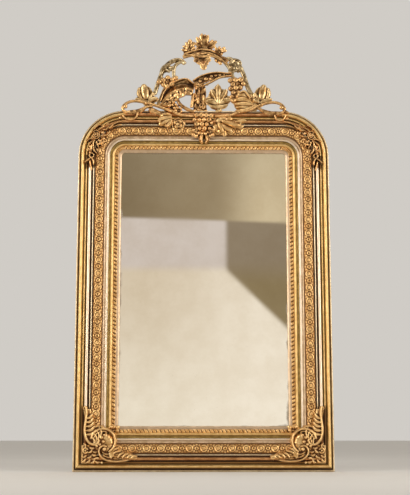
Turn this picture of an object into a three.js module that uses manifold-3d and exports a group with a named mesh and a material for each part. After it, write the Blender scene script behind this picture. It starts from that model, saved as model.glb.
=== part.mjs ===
// Overmantel mirror: a gilded frame with rounded shoulders, a pierced crest of leaves and grapes,
// and two ring hangers on its back. Millimetres, +Z up, front towards -Y.
//
// Points are given as [x, z], x from the centreline and z up from the frame's lower edge.
// Heights are given forward from the flat back, so a height h lies at y = -h.
// Distances u are measured inward from the frame's outer edge.
import * as THREE from 'three';
import { mergeVertices } from 'three/addons/utils/BufferGeometryUtils.js';
import Module from 'manifold-3d';

const wasm = await Module();
wasm.setup();

// ---- Driving dimensions ----
const FRAME_WIDTH = 920;
const FRAME_HEIGHT = 1310;
const SHOULDER_RADIUS = 171;
const SHOULDER_STEPS = 7;
const ORIGIN_HEIGHT = 60;
const GAP = 0.3;
const SIMPLIFY_WITHIN = 0.2;
const CUT_BEHIND = 1;

const CARCASS_DEPTH = 20;
const CARCASS_WIDTH = 136;
const FRIEZE_START = 62.6;
const FRIEZE_END = 98;
const SIGHT_EDGE = 158;

const BOARD_REBATE_START = 118;
const BOARD_REBATE_DEPTH = 7;
const BOARD_THICKNESS = 6;
const BOARD_COUNT = 3;
const GLASS_EDGE = 142;
const GLASS_THICKNESS = 4.7;
const WEDGE_LENGTH = 70;

const HALF_WIDTH = FRAME_WIDTH / 2;
const SHOULDER_X = HALF_WIDTH - SHOULDER_RADIUS;
const SHOULDER_Z = FRAME_HEIGHT - SHOULDER_RADIUS;
const MOULDING_BACK = CARCASS_DEPTH + GAP;
const GLASS_BACK = BOARD_REBATE_DEPTH + GAP;
const LIP_BACK = GLASS_BACK + GLASS_THICKNESS + GAP;

const HANGER = {
  x: 401, hingeZ: 1040, height: 5.2, wireRadius: 2.1, width: 34, drop: 31,
  corner: 4, bowSteps: 12, wireSides: 8,
  strapWidth: 22, strapLength: 70, strapThickness: 1.5, eyeRadius: 4, eyeBore: 2.5, eyeLength: 16,
};
const POCKET = { width: 48, depth: 10, below: 80, above: 44 };
const STRAP_SCREWS_BELOW_HINGE = { upper: 46, lower: 60 };
const SCREW = { headRadius: 4, headHeight: 1.6, shankRadius: 1.7, length: 9, slotDepth: 0.6, slotWidth: 1 };
// The batten's screws sit in counterbores, so that nothing stands proud of the back.
const BATTEN = { x: -13, width: 34, bottom: 1200, top: 1418, thickness: 9, counterbore: 3 };
const BATTEN_SCREW_HEIGHTS = { lower: 1225, middle: 1282, upper: 1370 };

// ---- Materials ----
const finish = (colour, roughness, metalness) =>
  new THREE.MeshStandardMaterial({ color: colour, roughness, metalness });
const burnishedGold = () => finish(0xe0bb84, 0.25, 0.9);
const matteGold = () => finish(0xc99f66, 0.45, 0.8);
const friezeGold = () => finish(0xb98d57, 0.55, 0.7);
const leafGold = () => finish(0xd9b37c, 0.35, 0.85);
const oldPine = () => finish(0x8a6a45, 0.8, 0);
const mirrorGlass = () => finish(0xcfc8ba, 0.03, 1);
const agedBrass = () => finish(0x9c7a3c, 0.4, 0.9);
const darkIron = () => finish(0x4a4540, 0.5, 0.8);

// ---- Solids from points ----
function signedVolume(positions, indices) {
  const corner = (k) => new THREE.Vector3().fromArray(positions, 3 * indices[k]);
  let volume = 0;
  for (let i = 0; i < indices.length; i += 3) {
    volume += corner(i).dot(corner(i + 1).cross(corner(i + 2))) / 6;
  }
  return volume;
}

function solidFrom(positions, indices) {
  const facingOut = signedVolume(positions, indices) < 0 ? [...indices].reverse() : indices;
  return new wasm.Manifold(new wasm.Mesh({
    numProp: 3,
    vertProperties: new Float32Array(positions),
    triVerts: new Uint32Array(facingOut),
  }));
}

function solidOf(geometry) {
  const plain = geometry.clone();
  plain.deleteAttribute('normal');
  plain.deleteAttribute('uv');
  const merged = mergeVertices(plain, 1e-4);
  return solidFrom(Array.from(merged.attributes.position.array), Array.from(merged.index.array));
}

function geometryOf(solid) {
  const mesh = solid.getMesh();
  const geometry = new THREE.BufferGeometry();
  geometry.setAttribute('position', new THREE.BufferAttribute(mesh.vertProperties, 3));
  geometry.setIndex(new THREE.BufferAttribute(mesh.triVerts, 1));
  geometry.computeVertexNormals();
  return geometry;
}

// Joins equal rings of [x, y, z] points into one closed solid. The section is the ring's flat
// outline, used to cap the two ends; without one the rings close on themselves.
function loft(rings, section) {
  const count = rings[0].length;
  const spans = section ? rings.length - 1 : rings.length;
  const indices = [];
  for (let i = 0; i < spans; i += 1) {
    const near = i * count;
    const far = ((i + 1) % rings.length) * count;
    for (let j = 0; j < count; j += 1) {
      const next = (j + 1) % count;
      indices.push(near + j, near + next, far + next, near + j, far + next, far + j);
    }
  }
  if (section) {
    const contour = section.map(([u, h]) => new THREE.Vector2(u, h));
    const last = (rings.length - 1) * count;
    for (const [a, b, c] of THREE.ShapeUtils.triangulateShape(contour, [])) {
      const [p, q, r] = THREE.ShapeUtils.isClockWise(contour) ? [c, b, a] : [a, b, c];
      indices.push(r, q, p, last + p, last + q, last + r);
    }
  }
  return solidFrom(rings.flat(2), indices);
}

function union(solids) {
  return solids.reduce((whole, solid) => whole.add(solid));
}

// Drops the slivers that a cut can leave beside the main body.
function largestBody(solid) {
  const bodies = solid.decompose();
  return bodies.reduce((best, body) => (body.volume() > best.volume() ? body : best));
}

function box(x0, x1, h0, h1, z0, z1) {
  const geometry = new THREE.BoxGeometry(x1 - x0, h1 - h0, z1 - z0);
  return solidOf(geometry.translate((x0 + x1) / 2, -(h0 + h1) / 2, (z0 + z1) / 2));
}

function cylinder(x, z, radius, h0, h1, sides = 12) {
  const geometry = new THREE.CylinderGeometry(radius, radius, h1 - h0, sides);
  return solidOf(geometry.translate(x, -(h0 + h1) / 2, z));
}

// A plate cut from a flat outline, from height h0 to h1.
function plate(shape, h0, h1, curveSegments = 8) {
  const geometry = new THREE.ExtrudeGeometry(shape, {
    depth: h1 - h0, bevelEnabled: false, curveSegments,
  });
  return solidOf(geometry.rotateX(Math.PI / 2).translate(0, -h0, 0));
}

// ---- Frame outlines ----
// The frame's outline moved inward by u: square at the foot, round at the shoulders.
function frameOutline(u) {
  const radius = SHOULDER_RADIUS - u;
  const shape = new THREE.Shape();
  shape.moveTo(-HALF_WIDTH + u, u);
  shape.lineTo(HALF_WIDTH - u, u);
  shape.lineTo(HALF_WIDTH - u, SHOULDER_Z);
  shape.absarc(SHOULDER_X, SHOULDER_Z, radius, 0, Math.PI / 2, false);
  shape.lineTo(-SHOULDER_X, SHOULDER_Z + radius);
  shape.absarc(-SHOULDER_X, SHOULDER_Z, radius, Math.PI / 2, Math.PI, false);
  shape.lineTo(-HALF_WIDTH + u, u);
  return shape;
}

// ---- Moulding profiles, as [u, h] points from the outer edge inward ----
// A rounded member from u0 to u1, rising from low to high.
function torus(u0, u1, low, high, steps = 4) {
  const points = [];
  for (let i = 0; i <= steps; i += 1) {
    const angle = Math.PI * (i / steps);
    const u = (u0 + u1) / 2 - ((u1 - u0) / 2) * Math.cos(angle);
    points.push([u, low + (high - low) * Math.sin(angle)]);
  }
  return points;
}

function step(u0, u1, height) {
  return [[u0, height], [u1, height]];
}

const OUTER_PROFILE = [
  [0, MOULDING_BACK],
  ...step(0, 6.5, 31), ...step(7, 10.5, 27),
  ...torus(11, 24, 34, 44), ...step(24.5, 28.5, 34), ...step(29, 34, 38), ...step(34.5, 38.5, 33),
  ...torus(39, 50, 36, 46), ...step(50.5, 55.5, 37), ...step(56, 60, 42), ...step(60.3, FRIEZE_START, 37),
  [FRIEZE_START, MOULDING_BACK],
];
const FRIEZE_PROFILE = [
  [FRIEZE_START + GAP, MOULDING_BACK],
  [FRIEZE_START + GAP, 37], [69, 40.5], [80, 42], [90, 39.5], [FRIEZE_END, 34],
  [FRIEZE_END, MOULDING_BACK],
];
const SLIP_PROFILE = [
  [FRIEZE_END + GAP, MOULDING_BACK],
  [FRIEZE_END + GAP, 32], [101, 29], [105, 28], [108, 29], ...step(108.5, 115, 31.5),
  [115.5, 27], [119, 24.5], [124, 24.5], ...torus(125, 134, 25, 31.5), ...step(134.5, 146.5, 25),
  [147.5, 22], [SIGHT_EDGE, 14], [SIGHT_EDGE, LIP_BACK],
  [CARCASS_WIDTH + GAP, LIP_BACK], [CARCASS_WIDTH + GAP, MOULDING_BACK],
];
// Lies just over every member of the mouldings, so that carving can be seated on them.
const MOULDING_ENVELOPE = [
  [-GAP, -5], [-GAP, 31.5], [6, 31.5], [11, 44.4], [24, 44.4], [38, 46.4], [51, 46.4], [61, 42.6],
  [80, 42.5], [90.5, 40], [98.8, 34.6], [108, 32], [134.5, 32], [147.5, 25.4],
  [SIGHT_EDGE + GAP, 14.6], [SIGHT_EDGE + GAP, -5],
];

// ---- Runs of moulding ----
function leftStation(z) {
  return ([u, h]) => [-HALF_WIDTH + u, -h, z];
}

function leftMitreStation([u, h]) {
  return [-HALF_WIDTH + u, -h, u + GAP];
}

function bottomMitreStation(side) {
  return ([u, h]) => [side * (HALF_WIDTH - u - GAP), -h, u];
}

function topStation(x) {
  return ([u, h]) => [x, -h, FRAME_HEIGHT - u];
}

function shoulderStation(angle) {
  return ([u, h]) => {
    const radius = SHOULDER_RADIUS - u;
    return [-SHOULDER_X + radius * Math.cos(angle), -h, SHOULDER_Z + radius * Math.sin(angle)];
  };
}

function shoulderStations() {
  const angle = (i) => Math.PI * (1 - (0.5 * i) / SHOULDER_STEPS);
  return Array.from({ length: SHOULDER_STEPS + 1 }, (_, i) => shoulderStation(angle(i)));
}

function run(profile, stations) {
  return loft(stations.map((station) => profile.map(station)), profile);
}

function mirrored(solid) {
  return solid.mirror([1, 0, 0]);
}

function leftRun(profile) {
  return run(profile, [leftMitreStation, leftStation(SHOULDER_Z - GAP)]);
}

function bottomRun(profile) {
  return run(profile, [bottomMitreStation(-1), bottomMitreStation(1)]);
}

// The top length with both shoulders in one piece.
function archedTopRun(profile) {
  const left = shoulderStations();
  const right = [...left].reverse().map((station) => (point) => {
    const [x, y, z] = station(point);
    return [-x, y, z];
  });
  return run(profile, [...left, ...right]);
}

// ---- Carving ----
// A band follows a smooth line through its points. Its half width, its front and its back are
// functions of t along the line; the front also rises from edge to middle by its crown.
// Grown by a small distance, the same band cuts clearance for itself out of its neighbours.
function band(spec, grow = 0) {
  const { points, halfWidth, back, edge, crown, steps = 8, across = [-1, 0, 1], lift = () => 0 } = spec;
  const line = new THREE.SplineCurve(points.map(([x, z]) => new THREE.Vector2(x, z)));
  const rings = [];
  for (let i = 0; i <= steps; i += 1) {
    const t = i / steps;
    const tangent = line.getTangent(t);
    const centre = line.getPoint(t);
    if (i === 0) centre.addScaledVector(tangent, -grow);
    if (i === steps) centre.addScaledVector(tangent, grow);
    const reach = halfWidth(t) + grow;
    const behind = back + lift(t) - grow;
    const place = (s, h) => [centre.x - tangent.y * s * reach, -h, centre.y + tangent.x * s * reach];
    const front = across.map((s) => place(s, back + lift(t) + edge + crown(t, s) + grow));
    rings.push([...front, place(1, behind), place(-1, behind)]);
  }
  const section = [...across.map((s) => [s, 2 - s * s]), [1, 0], [-1, 0]];
  return loft(rings, section);
}

const FINE_ACROSS = [-1, -0.5, 0, 0.5, 1];
const ridge = (height) => (t, s) => height * (1 - s * s);
const trough = (depth) => (t, s) => depth * s * s;

// A strap keeps its width and is rounded across.
function strap(points, halfWidth, back, front, steps = 10) {
  const thickness = front - back;
  return {
    points, back, steps, halfWidth: () => halfWidth, edge: 0.55 * thickness, crown: ridge(0.45 * thickness),
  };
}

// A leaf swells from its base to a rounded tip, with scalloped lobes along its edges.
function leaf(points, width, back, front, { lobes = 0, steps = 5, lift = 0 } = {}) {
  const thickness = front - back;
  const halfWidth = (t) => {
    const swell = Math.sin(Math.PI * (0.1 + 0.85 * t)) ** 0.7;
    const scallop = lobes ? 1 - 0.14 * (1 + Math.cos(2 * Math.PI * lobes * t)) : 1;
    return 0.5 * width * swell * scallop;
  };
  const crown = ridge(0.55 * thickness);
  return { points, halfWidth, back, steps, edge: 0.45 * thickness, crown, lift: (t) => lift * t * t };
}

function bandGroup(specs) {
  return (grow = 0) => union(specs.map((spec) => band(spec, grow)));
}

function berry([x, z], radius, height, grow = 0) {
  const geometry = new THREE.IcosahedronGeometry(radius + grow, 0);
  return solidOf(geometry.translate(x, -height, z));
}

function berries(points, radius, height, grow = 0) {
  return union(points.map((point, i) => berry(point, radius, height + 2 * (i % 2), grow)));
}

function rosePetals([x, z], radius, height, count, grow) {
  const petal = (i) => {
    const angle = (2 * Math.PI * i) / count;
    return berry([x + radius * Math.cos(angle), z + radius * Math.sin(angle)], 0.75 * radius, height, grow);
  };
  const petals = Array.from({ length: count }, (_, i) => petal(i));
  return union([berry([x, z], 0.6 * radius, height + 4, grow), ...petals]);
}

// Heights of the crest's layers.
const REAR = { back: BATTEN.thickness + 2 * GAP, front: 22 };
const MIDDLE = { back: 22.4, front: 40 };
const ON_FRAME = { back: 28, front: 56 };
const TWIG = { back: 40, front: 51 };
const FOOT = { back: 20, front: 57, bossX: -354, bossZ: 100, bossRadius: 42, bossFront: 50, patchFront: 51 };

const rearStrap = (points, halfWidth, steps) => strap(points, halfWidth, REAR.back, REAR.front, steps);
const middleLeaf = (points, width, options) => leaf(points, width, MIDDLE.back, MIDDLE.front, options);
const frameLeaf = (points, width, options) => leaf(points, width, ON_FRAME.back, ON_FRAME.front, options);
const twigStrap = (points, halfWidth, steps) => strap(points, halfWidth, TWIG.back, TWIG.front, steps);

const crestTrunk = bandGroup([{
  points: [[-13, 1311], [-15, 1350], [-12, 1390], [-18, 1424]],
  halfWidth: (t) => 26 - 8 * t, back: REAR.back, edge: 9, crown: ridge(5), steps: 5, across: FINE_ACROSS,
}]);

const crestArchLeft = bandGroup([
  rearStrap([[-184, 1374], [-176, 1402], [-164, 1440], [-152, 1470], [-134, 1495], [-108, 1510], [-84, 1509],
    [-70, 1495]], 8, 14),
  rearStrap([[-111, 1430], [-112, 1460], [-110, 1482], [-98, 1498], [-82, 1506]], 6.5, 7),
  rearStrap([[-154, 1468], [-135, 1475], [-110, 1480]], 11, 3),
  rearStrap([[-172, 1336], [-158, 1368], [-146, 1398], [-130, 1424], [-110, 1438]], 6.5, 7),
]);

const crestArchRight = bandGroup([
  rearStrap([[72, 1510], [94, 1517], [114, 1507], [134, 1486], [148, 1458], [157, 1428], [167, 1400],
    [182, 1372], [198, 1340]], 8.5, 14),
  rearStrap([[64, 1518], [84, 1498], [100, 1474], [108, 1450], [116, 1424], [124, 1396], [140, 1366],
    [170, 1360]], 7, 11),
  rearStrap([[100, 1502], [120, 1490], [140, 1470]], 15, 3),
]);

const crestTopLeaf = bandGroup([
  {
    points: [[-78, 1517], [-45, 1531], [-8, 1538], [30, 1533], [60, 1516], [84, 1496]],
    halfWidth: (t) => 5 + 8 * Math.sin(Math.PI * t), back: MIDDLE.back, edge: 8, crown: ridge(6), steps: 9,
  },
  middleLeaf([[-40, 1532], [-60, 1543], [-80, 1553]], 26),
  middleLeaf([[-42, 1532], [-56, 1550], [-66, 1568]], 26),
  middleLeaf([[-40, 1534], [-46, 1558], [-46, 1581]], 28),
  middleLeaf([[-12, 1538], [-20, 1565], [-27, 1592]], 30),
  middleLeaf([[-5, 1538], [-4, 1575], [-3, 1610]], 36),
  middleLeaf([[0, 1538], [9, 1568], [14, 1598]], 30),
  middleLeaf([[10, 1538], [24, 1560], [36, 1580]], 28),
  middleLeaf([[12, 1536], [34, 1554], [50, 1570]], 24),
  middleLeaf([[40, 1526], [54, 1540], [58, 1554]], 30),
  middleLeaf([[48, 1524], [68, 1532], [84, 1545]], 30),
  middleLeaf([[-6, 1534], [-6, 1500], [0, 1467]], 64, { lobes: 2, steps: 7 }),
  middleLeaf([[48, 1520], [58, 1504], [65, 1489]], 28),
]);

const SHELL_BERRIES = [[-92, 1309], [-110, 1318], [-128, 1330], [-112, 1338], [-130, 1348]];

function crestShell(grow = 0) {
  const body = bandGroup([
    {
      points: [[-148, 1348], [-134, 1380], [-108, 1403], [-78, 1413], [-40, 1403]],
      halfWidth: (t) => 9 + 9 * Math.sin(Math.PI * t), back: MIDDLE.back, edge: 6, crown: trough(9),
      steps: 9, across: FINE_ACROSS,
    },
    strap([[-122, 1340], [-108, 1366], [-78, 1382], [-38, 1380]], 17, MIDDLE.back, MIDDLE.front, 8),
    strap([[-106, 1360], [-88, 1337], [-66, 1319], [-36, 1304]], 6.5, MIDDLE.back, 36, 6),
    strap([[-140, 1352], [-122, 1336], [-98, 1316]], 10, MIDDLE.back, 33, 4),
  ])(grow);
  return union([body, berries(SHELL_BERRIES, 9.5, 33, grow)]);
}

const crestHorn = bandGroup([{
  points: [[-32, 1411], [-6, 1428], [28, 1441], [66, 1447], [104, 1452]],
  halfWidth: (t) => 16 - 9 * t, back: MIDDLE.back + 2, edge: 7, crown: ridge(7), steps: 7,
  across: FINE_ACROSS,
}]);

const crestVineLeaf = bandGroup([
  middleLeaf([[54, 1316], [52, 1360], [51, 1405]], 58, { lobes: 1, steps: 7, lift: 4 }),
  middleLeaf([[50, 1326], [30, 1350], [22, 1376]], 44, { lift: 4 }),
  middleLeaf([[60, 1328], [76, 1355], [78, 1380]], 40, { lift: 4 }),
  middleLeaf([[54, 1334], [32, 1336], [14, 1332]], 36, { lift: 2 }),
  middleLeaf([[56, 1328], [74, 1330], [88, 1336]], 36, { lift: 2 }),
  middleLeaf([[62, 1320], [56, 1312], [44, 1303]], 24),
]);

const crestLeafRight = bandGroup([
  middleLeaf([[196, 1340], [162, 1366], [124, 1362]], 42, { lobes: 1, steps: 6 }),
  middleLeaf([[196, 1330], [150, 1326], [104, 1336]], 44, { lobes: 2, steps: 8 }),
  middleLeaf([[166, 1322], [140, 1310], [112, 1304]], 26),
]);

const GRAPES_LEFT = [
  [-150, 1410], [-166, 1420], [-150, 1427], [-134, 1436], [-134, 1420], [-118, 1429], [-104, 1436],
  [-120, 1412], [-136, 1403],
];
const GRAPES_RIGHT = [
  [99, 1427], [118, 1427], [137, 1429], [108, 1411], [127, 1412], [146, 1414], [100, 1395], [119, 1397],
  [134, 1400], [110, 1379], [126, 1383], [104, 1363], [118, 1365], [110, 1349],
];
const GRAPES_DROP = [
  [-26, 1286], [-9, 1286], [9, 1286], [26, 1284], [-34, 1269], [-17, 1269], [0, 1269], [18, 1268],
  [-26, 1252], [-8, 1252], [10, 1252], [-16, 1236], [2, 1236],
];

const grapesLeft = (grow = 0) => berries(GRAPES_LEFT, 10, 30, grow);
const grapesRight = (grow = 0) => berries(GRAPES_RIGHT, 11, 31, grow);

function centreDrop(grow = 0) {
  const leaves = bandGroup([
    frameLeaf([[-14, 1240], [-30, 1226], [-38, 1210]], 30),
    frameLeaf([[14, 1240], [26, 1226], [30, 1208]], 30),
    frameLeaf([[0, 1232], [1, 1206], [4, 1181]], 40, { lobes: 1 }),
  ])(grow);
  const stem = band(strap([[-2, 1290], [0, 1225]], 15, 28, 50, 2), grow);
  return union([leaves, berries(GRAPES_DROP, 11, 52, grow), stem]);
}

const sideLeafLeft = bandGroup([
  leaf([[-198, 1334], [-210, 1368], [-213, 1406]], 40, 26, 40, { steps: 7 }),
  leaf([[-204, 1342], [-226, 1350], [-248, 1360]], 22, 26, 39),
  leaf([[-200, 1336], [-186, 1348], [-167, 1352]], 26, 26, 40),
  leaf([[-198, 1338], [-192, 1356], [-186, 1374]], 24, 26, 40),
]);

const sideLeafRight = bandGroup([
  leaf([[204, 1332], [216, 1366], [222, 1400]], 45, 26, 40, { steps: 7 }),
  leaf([[212, 1340], [232, 1348], [252, 1352]], 24, 26, 39),
  leaf([[204, 1334], [198, 1354], [190, 1376]], 24, 26, 40),
]);

function twigLeft(grow = 0) {
  const bands = bandGroup([
    twigStrap([[-34, 1284], [-85, 1289], [-130, 1307], [-190, 1329], [-250, 1342], [-282, 1335],
      [-299, 1318], [-293, 1303], [-268, 1297], [-240, 1304], [-214, 1318], [-188, 1322]], 5.5, 26),
    leaf([[-284, 1300], [-246, 1301], [-212, 1318]], 20, TWIG.back, TWIG.front),
    twigStrap([[-300, 1288], [-287, 1274], [-267, 1271], [-249, 1281], [-243, 1302]], 4.5, 8),
    leaf([[-204, 1310], [-178, 1302], [-148, 1283]], 26, 36, 51),
  ])(grow);
  return union([bands, berry([-289, 1321], 8, 45, grow)]);
}

function twigRight(grow = 0) {
  const bands = bandGroup([
    twigStrap([[38, 1284], [95, 1288], [130, 1301], [170, 1309], [208, 1328], [250, 1339], [281, 1334],
      [298, 1316], [290, 1300], [264, 1294], [236, 1299], [212, 1310], [196, 1320]], 5.5, 26),
    leaf([[286, 1299], [244, 1297], [204, 1313]], 20, TWIG.back, TWIG.front),
    twigStrap([[261, 1290], [268, 1275], [282, 1270], [296, 1277], [301, 1292]], 4.5, 8),
    leaf([[296, 1304], [304, 1302], [315, 1298]], 14, 40, 50, { steps: 3 }),
  ])(grow);
  return union([bands, berry([287, 1319], 8, 45, grow)]);
}

const lowLeafLeft = bandGroup([
  frameLeaf([[-126, 1292], [-148, 1284], [-168, 1268]], 36),
  frameLeaf([[-134, 1298], [-142, 1270], [-130, 1243]], 46, { lobes: 1, steps: 6 }),
]);

const crestRose = (grow = 0) => rosePetals([-95, 1253], 17, 47, 6, grow);

const lowLeafRight = bandGroup([
  frameLeaf([[58, 1268], [105, 1264], [148, 1246]], 44, { lobes: 2, steps: 8 }),
  frameLeaf([[84, 1268], [84, 1240], [74, 1212]], 52, { lobes: 1, steps: 6 }),
  frameLeaf([[78, 1252], [62, 1250], [46, 1243]], 26),
  frameLeaf([[88, 1252], [104, 1242], [118, 1230]], 34),
  frameLeaf([[116, 1262], [138, 1268], [157, 1266]], 26),
]);

// A shoulder spray: an open flower with leaves that fan round the corner and trail down the stile.
function shoulderSpray(grow = 0) {
  const leaves = bandGroup([
    frameLeaf([[-392, 1226], [-362, 1248], [-324, 1263]], 42, { lobes: 2, steps: 7 }),
    frameLeaf([[-392, 1214], [-366, 1210], [-338, 1222]], 36),
    frameLeaf([[-398, 1210], [-418, 1200], [-430, 1180]], 32),
    frameLeaf([[-392, 1210], [-380, 1184], [-366, 1158]], 40),
    frameLeaf([[-398, 1208], [-406, 1174], [-392, 1138]], 36, { lobes: 1 }),
    strap([[-406, 1190], [-413, 1150], [-416, 1112], [-410, 1078]], 9, ON_FRAME.back, ON_FRAME.front - 3, 5),
    frameLeaf([[-414, 1128], [-424, 1116], [-434, 1104]], 16, { steps: 3 }),
  ])(grow);
  return union([leaves, rosePetals([-397, 1213], 17, 47, 6, grow)]);
}

// A foot cartouche: interlocking C-scrolls round a boss, with leaf tails up the stile and along
// the rail and a trellis patch in the corner.
function footCartouche(grow = 0) {
  const { back, front, bossX, bossZ, bossRadius, bossFront, patchFront } = FOOT;
  const scroll = (points, halfWidth, steps) => strap(points, halfWidth, back, front, steps);
  const bands = bandGroup([
    scroll([[-412, 220], [-416, 184], [-417, 150], [-413, 116], [-397, 97], [-379, 99]], 8, 10),
    scroll([[-400, 108], [-391, 134], [-366, 149], [-337, 142], [-317, 120], [-313, 95],
      [-325, 70]], 7.5, 11),
    scroll([[-352, 86], [-366, 76], [-365, 57], [-347, 44], [-318, 40], [-284, 46]], 8, 10),
    frameLeaf([[-402, 96], [-400, 160], [-403, 222]], 42, { lobes: 3, steps: 9 }),
    frameLeaf([[-344, 58], [-286, 60], [-230, 49]], 44, { lobes: 3, steps: 9 }),
    strap([[-402, 29], [-402, 92]], 25, ON_FRAME.back, patchFront, 2),
    leaf([[-344, 128], [-318, 142], [-296, 158]], 38, 15, 44),
  ])(grow);
  const boss = cylinder(bossX, bossZ, bossRadius + grow, back - grow, bossFront + grow, 14);
  return union([bands, boss, berry([-349, 77], 8, 53, grow)]);
}

// ---- Carcass ----
const carcassBack = () => {
  const reach = HALF_WIDTH - BOARD_REBATE_START;
  return box(-reach, reach, -CUT_BEHIND, BOARD_REBATE_DEPTH,
    BOARD_REBATE_START, FRAME_HEIGHT - BOARD_REBATE_START);
};

function hangerPocket() {
  const half = POCKET.width / 2;
  return box(-HANGER.x - half, -HANGER.x + half, -CUT_BEHIND, POCKET.depth,
    HANGER.hingeZ - POCKET.below, HANGER.hingeZ + POCKET.above);
}

function stile() {
  const blank = box(-HALF_WIDTH, -HALF_WIDTH + CARCASS_WIDTH, 0, CARCASS_DEPTH,
    CARCASS_WIDTH + GAP, SHOULDER_Z - GAP);
  const screwHoles = Object.values(STRAP_SCREWS_BELOW_HINGE).map((drop) =>
    cylinder(-HANGER.x, HANGER.hingeZ - drop, SCREW.shankRadius + GAP, POCKET.depth - CUT_BEHIND,
      POCKET.depth + SCREW.length));
  return blank.subtract(union([carcassBack(), hangerPocket(), ...screwHoles]));
}

function bottomRail() {
  return box(-HALF_WIDTH, HALF_WIDTH, 0, CARCASS_DEPTH, 0, CARCASS_WIDTH).subtract(carcassBack());
}

function battenBox(back, clearance) {
  const half = BATTEN.width / 2 + clearance;
  return box(BATTEN.x - half, BATTEN.x + half, back, BATTEN.thickness + clearance,
    BATTEN.bottom - clearance, BATTEN.top + clearance);
}

function topRail() {
  const inner = SHOULDER_RADIUS - CARCASS_WIDTH;
  const shape = new THREE.Shape();
  shape.moveTo(HALF_WIDTH, SHOULDER_Z);
  shape.absarc(SHOULDER_X, SHOULDER_Z, SHOULDER_RADIUS, 0, Math.PI / 2, false);
  shape.absarc(-SHOULDER_X, SHOULDER_Z, SHOULDER_RADIUS, Math.PI / 2, Math.PI, false);
  shape.lineTo(-SHOULDER_X - inner, SHOULDER_Z);
  shape.absarc(-SHOULDER_X, SHOULDER_Z, inner, Math.PI, Math.PI / 2, true);
  shape.absarc(SHOULDER_X, SHOULDER_Z, inner, Math.PI / 2, 0, true);
  const cuts = union([carcassBack(), battenBox(-CUT_BEHIND, GAP), ...battenScrewHoles()]);
  return plate(shape, 0, CARCASS_DEPTH, 12).subtract(cuts);
}

// ---- Plate, boards and wedges ----
function mirrorPlate() {
  return plate(frameOutline(GLASS_EDGE), GLASS_BACK, GLASS_BACK + GLASS_THICKNESS, 6);
}

function backboard(index) {
  const span = 2 * (HALF_WIDTH - BOARD_REBATE_START) / BOARD_COUNT;
  const left = -HALF_WIDTH + BOARD_REBATE_START + span * index;
  const back = BOARD_REBATE_DEPTH - GAP - BOARD_THICKNESS;
  return box(left + GAP, left + span - GAP, back, back + BOARD_THICKNESS,
    BOARD_REBATE_START + GAP, FRAME_HEIGHT - BOARD_REBATE_START - GAP);
}

function sideWedge() {
  return box(-HALF_WIDTH + CARCASS_WIDTH + GAP, -HALF_WIDTH + GLASS_EDGE - GAP, GLASS_BACK,
    GLASS_BACK + GLASS_THICKNESS, FRAME_HEIGHT / 2 - WEDGE_LENGTH / 2, FRAME_HEIGHT / 2 + WEDGE_LENGTH / 2);
}

function endWedge(z0, z1) {
  return box(-WEDGE_LENGTH / 2, WEDGE_LENGTH / 2, GLASS_BACK, GLASS_BACK + GLASS_THICKNESS,
    z0 + GAP, z1 - GAP);
}

// ---- Hangers ----
function alongX(x, z, height, radius, length, sides) {
  const geometry = new THREE.CylinderGeometry(radius, radius, length, sides);
  return solidOf(geometry.rotateZ(Math.PI / 2).translate(x, -height, z));
}

function hangerStrap() {
  const front = POCKET.depth - GAP;
  const { x, hingeZ } = HANGER;
  const half = HANGER.strapWidth / 2;
  const tongue = box(x - half, x + half, front - HANGER.strapThickness, front,
    hingeZ - HANGER.strapLength, hingeZ);
  const eye = alongX(x, hingeZ, HANGER.height, HANGER.eyeRadius, HANGER.eyeLength, 16);
  const bore = alongX(x, hingeZ, HANGER.height, HANGER.eyeBore, 2 * HANGER.eyeLength, 16);
  const holes = Object.values(STRAP_SCREWS_BELOW_HINGE).map((drop) =>
    cylinder(x, hingeZ - drop, SCREW.shankRadius + GAP, front - HANGER.strapThickness - CUT_BEHIND,
      front + CUT_BEHIND));
  return tongue.add(eye).subtract(union([bore, ...holes]));
}

// A D-shaped ring: a straight bar through the eye and a round bow hanging from it.
function hangingRing() {
  const half = HANGER.width / 2;
  const bow = HANGER.drop - half;
  const { corner, bowSteps, wireSides } = HANGER;
  const centres = [[-half, -corner], [-half, -bow]];
  for (let i = 1; i < bowSteps; i += 1) {
    const angle = Math.PI + (Math.PI * i) / bowSteps;
    centres.push([half * Math.cos(angle), -bow + half * Math.sin(angle)]);
  }
  centres.push([half, -bow], [half, -corner], [half - corner, 0], [-half + corner, 0]);
  const rings = centres.map(([x, z], i) => {
    const before = centres[(i + centres.length - 1) % centres.length];
    const after = centres[(i + 1) % centres.length];
    const along = new THREE.Vector2(after[0] - before[0], after[1] - before[1]).normalize();
    return Array.from({ length: wireSides }, (_, k) => {
      const angle = (2 * Math.PI * k) / wireSides;
      const side = HANGER.wireRadius * Math.cos(angle);
      return [HANGER.x + x - along.y * side, -HANGER.height + HANGER.wireRadius * Math.sin(angle),
        HANGER.hingeZ + z + along.x * side];
    });
  });
  return loft(rings);
}

// Screws driven forward from the back: a round head with a slot and a plain shank.
function screw(x, z, headFront) {
  const head = cylinder(x, z, SCREW.headRadius, headFront - SCREW.headHeight, headFront);
  const shank = cylinder(x, z, SCREW.shankRadius, headFront - 0.5, headFront + SCREW.length, 8);
  const headBack = headFront - SCREW.headHeight;
  const slot = box(x - SCREW.headRadius, x + SCREW.headRadius,
    headBack - CUT_BEHIND, headBack + SCREW.slotDepth, z - SCREW.slotWidth / 2, z + SCREW.slotWidth / 2);
  return head.add(shank).subtract(slot);
}

function strapScrew(drop) {
  return screw(HANGER.x, HANGER.hingeZ - drop, POCKET.depth - GAP - HANGER.strapThickness - GAP);
}

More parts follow.
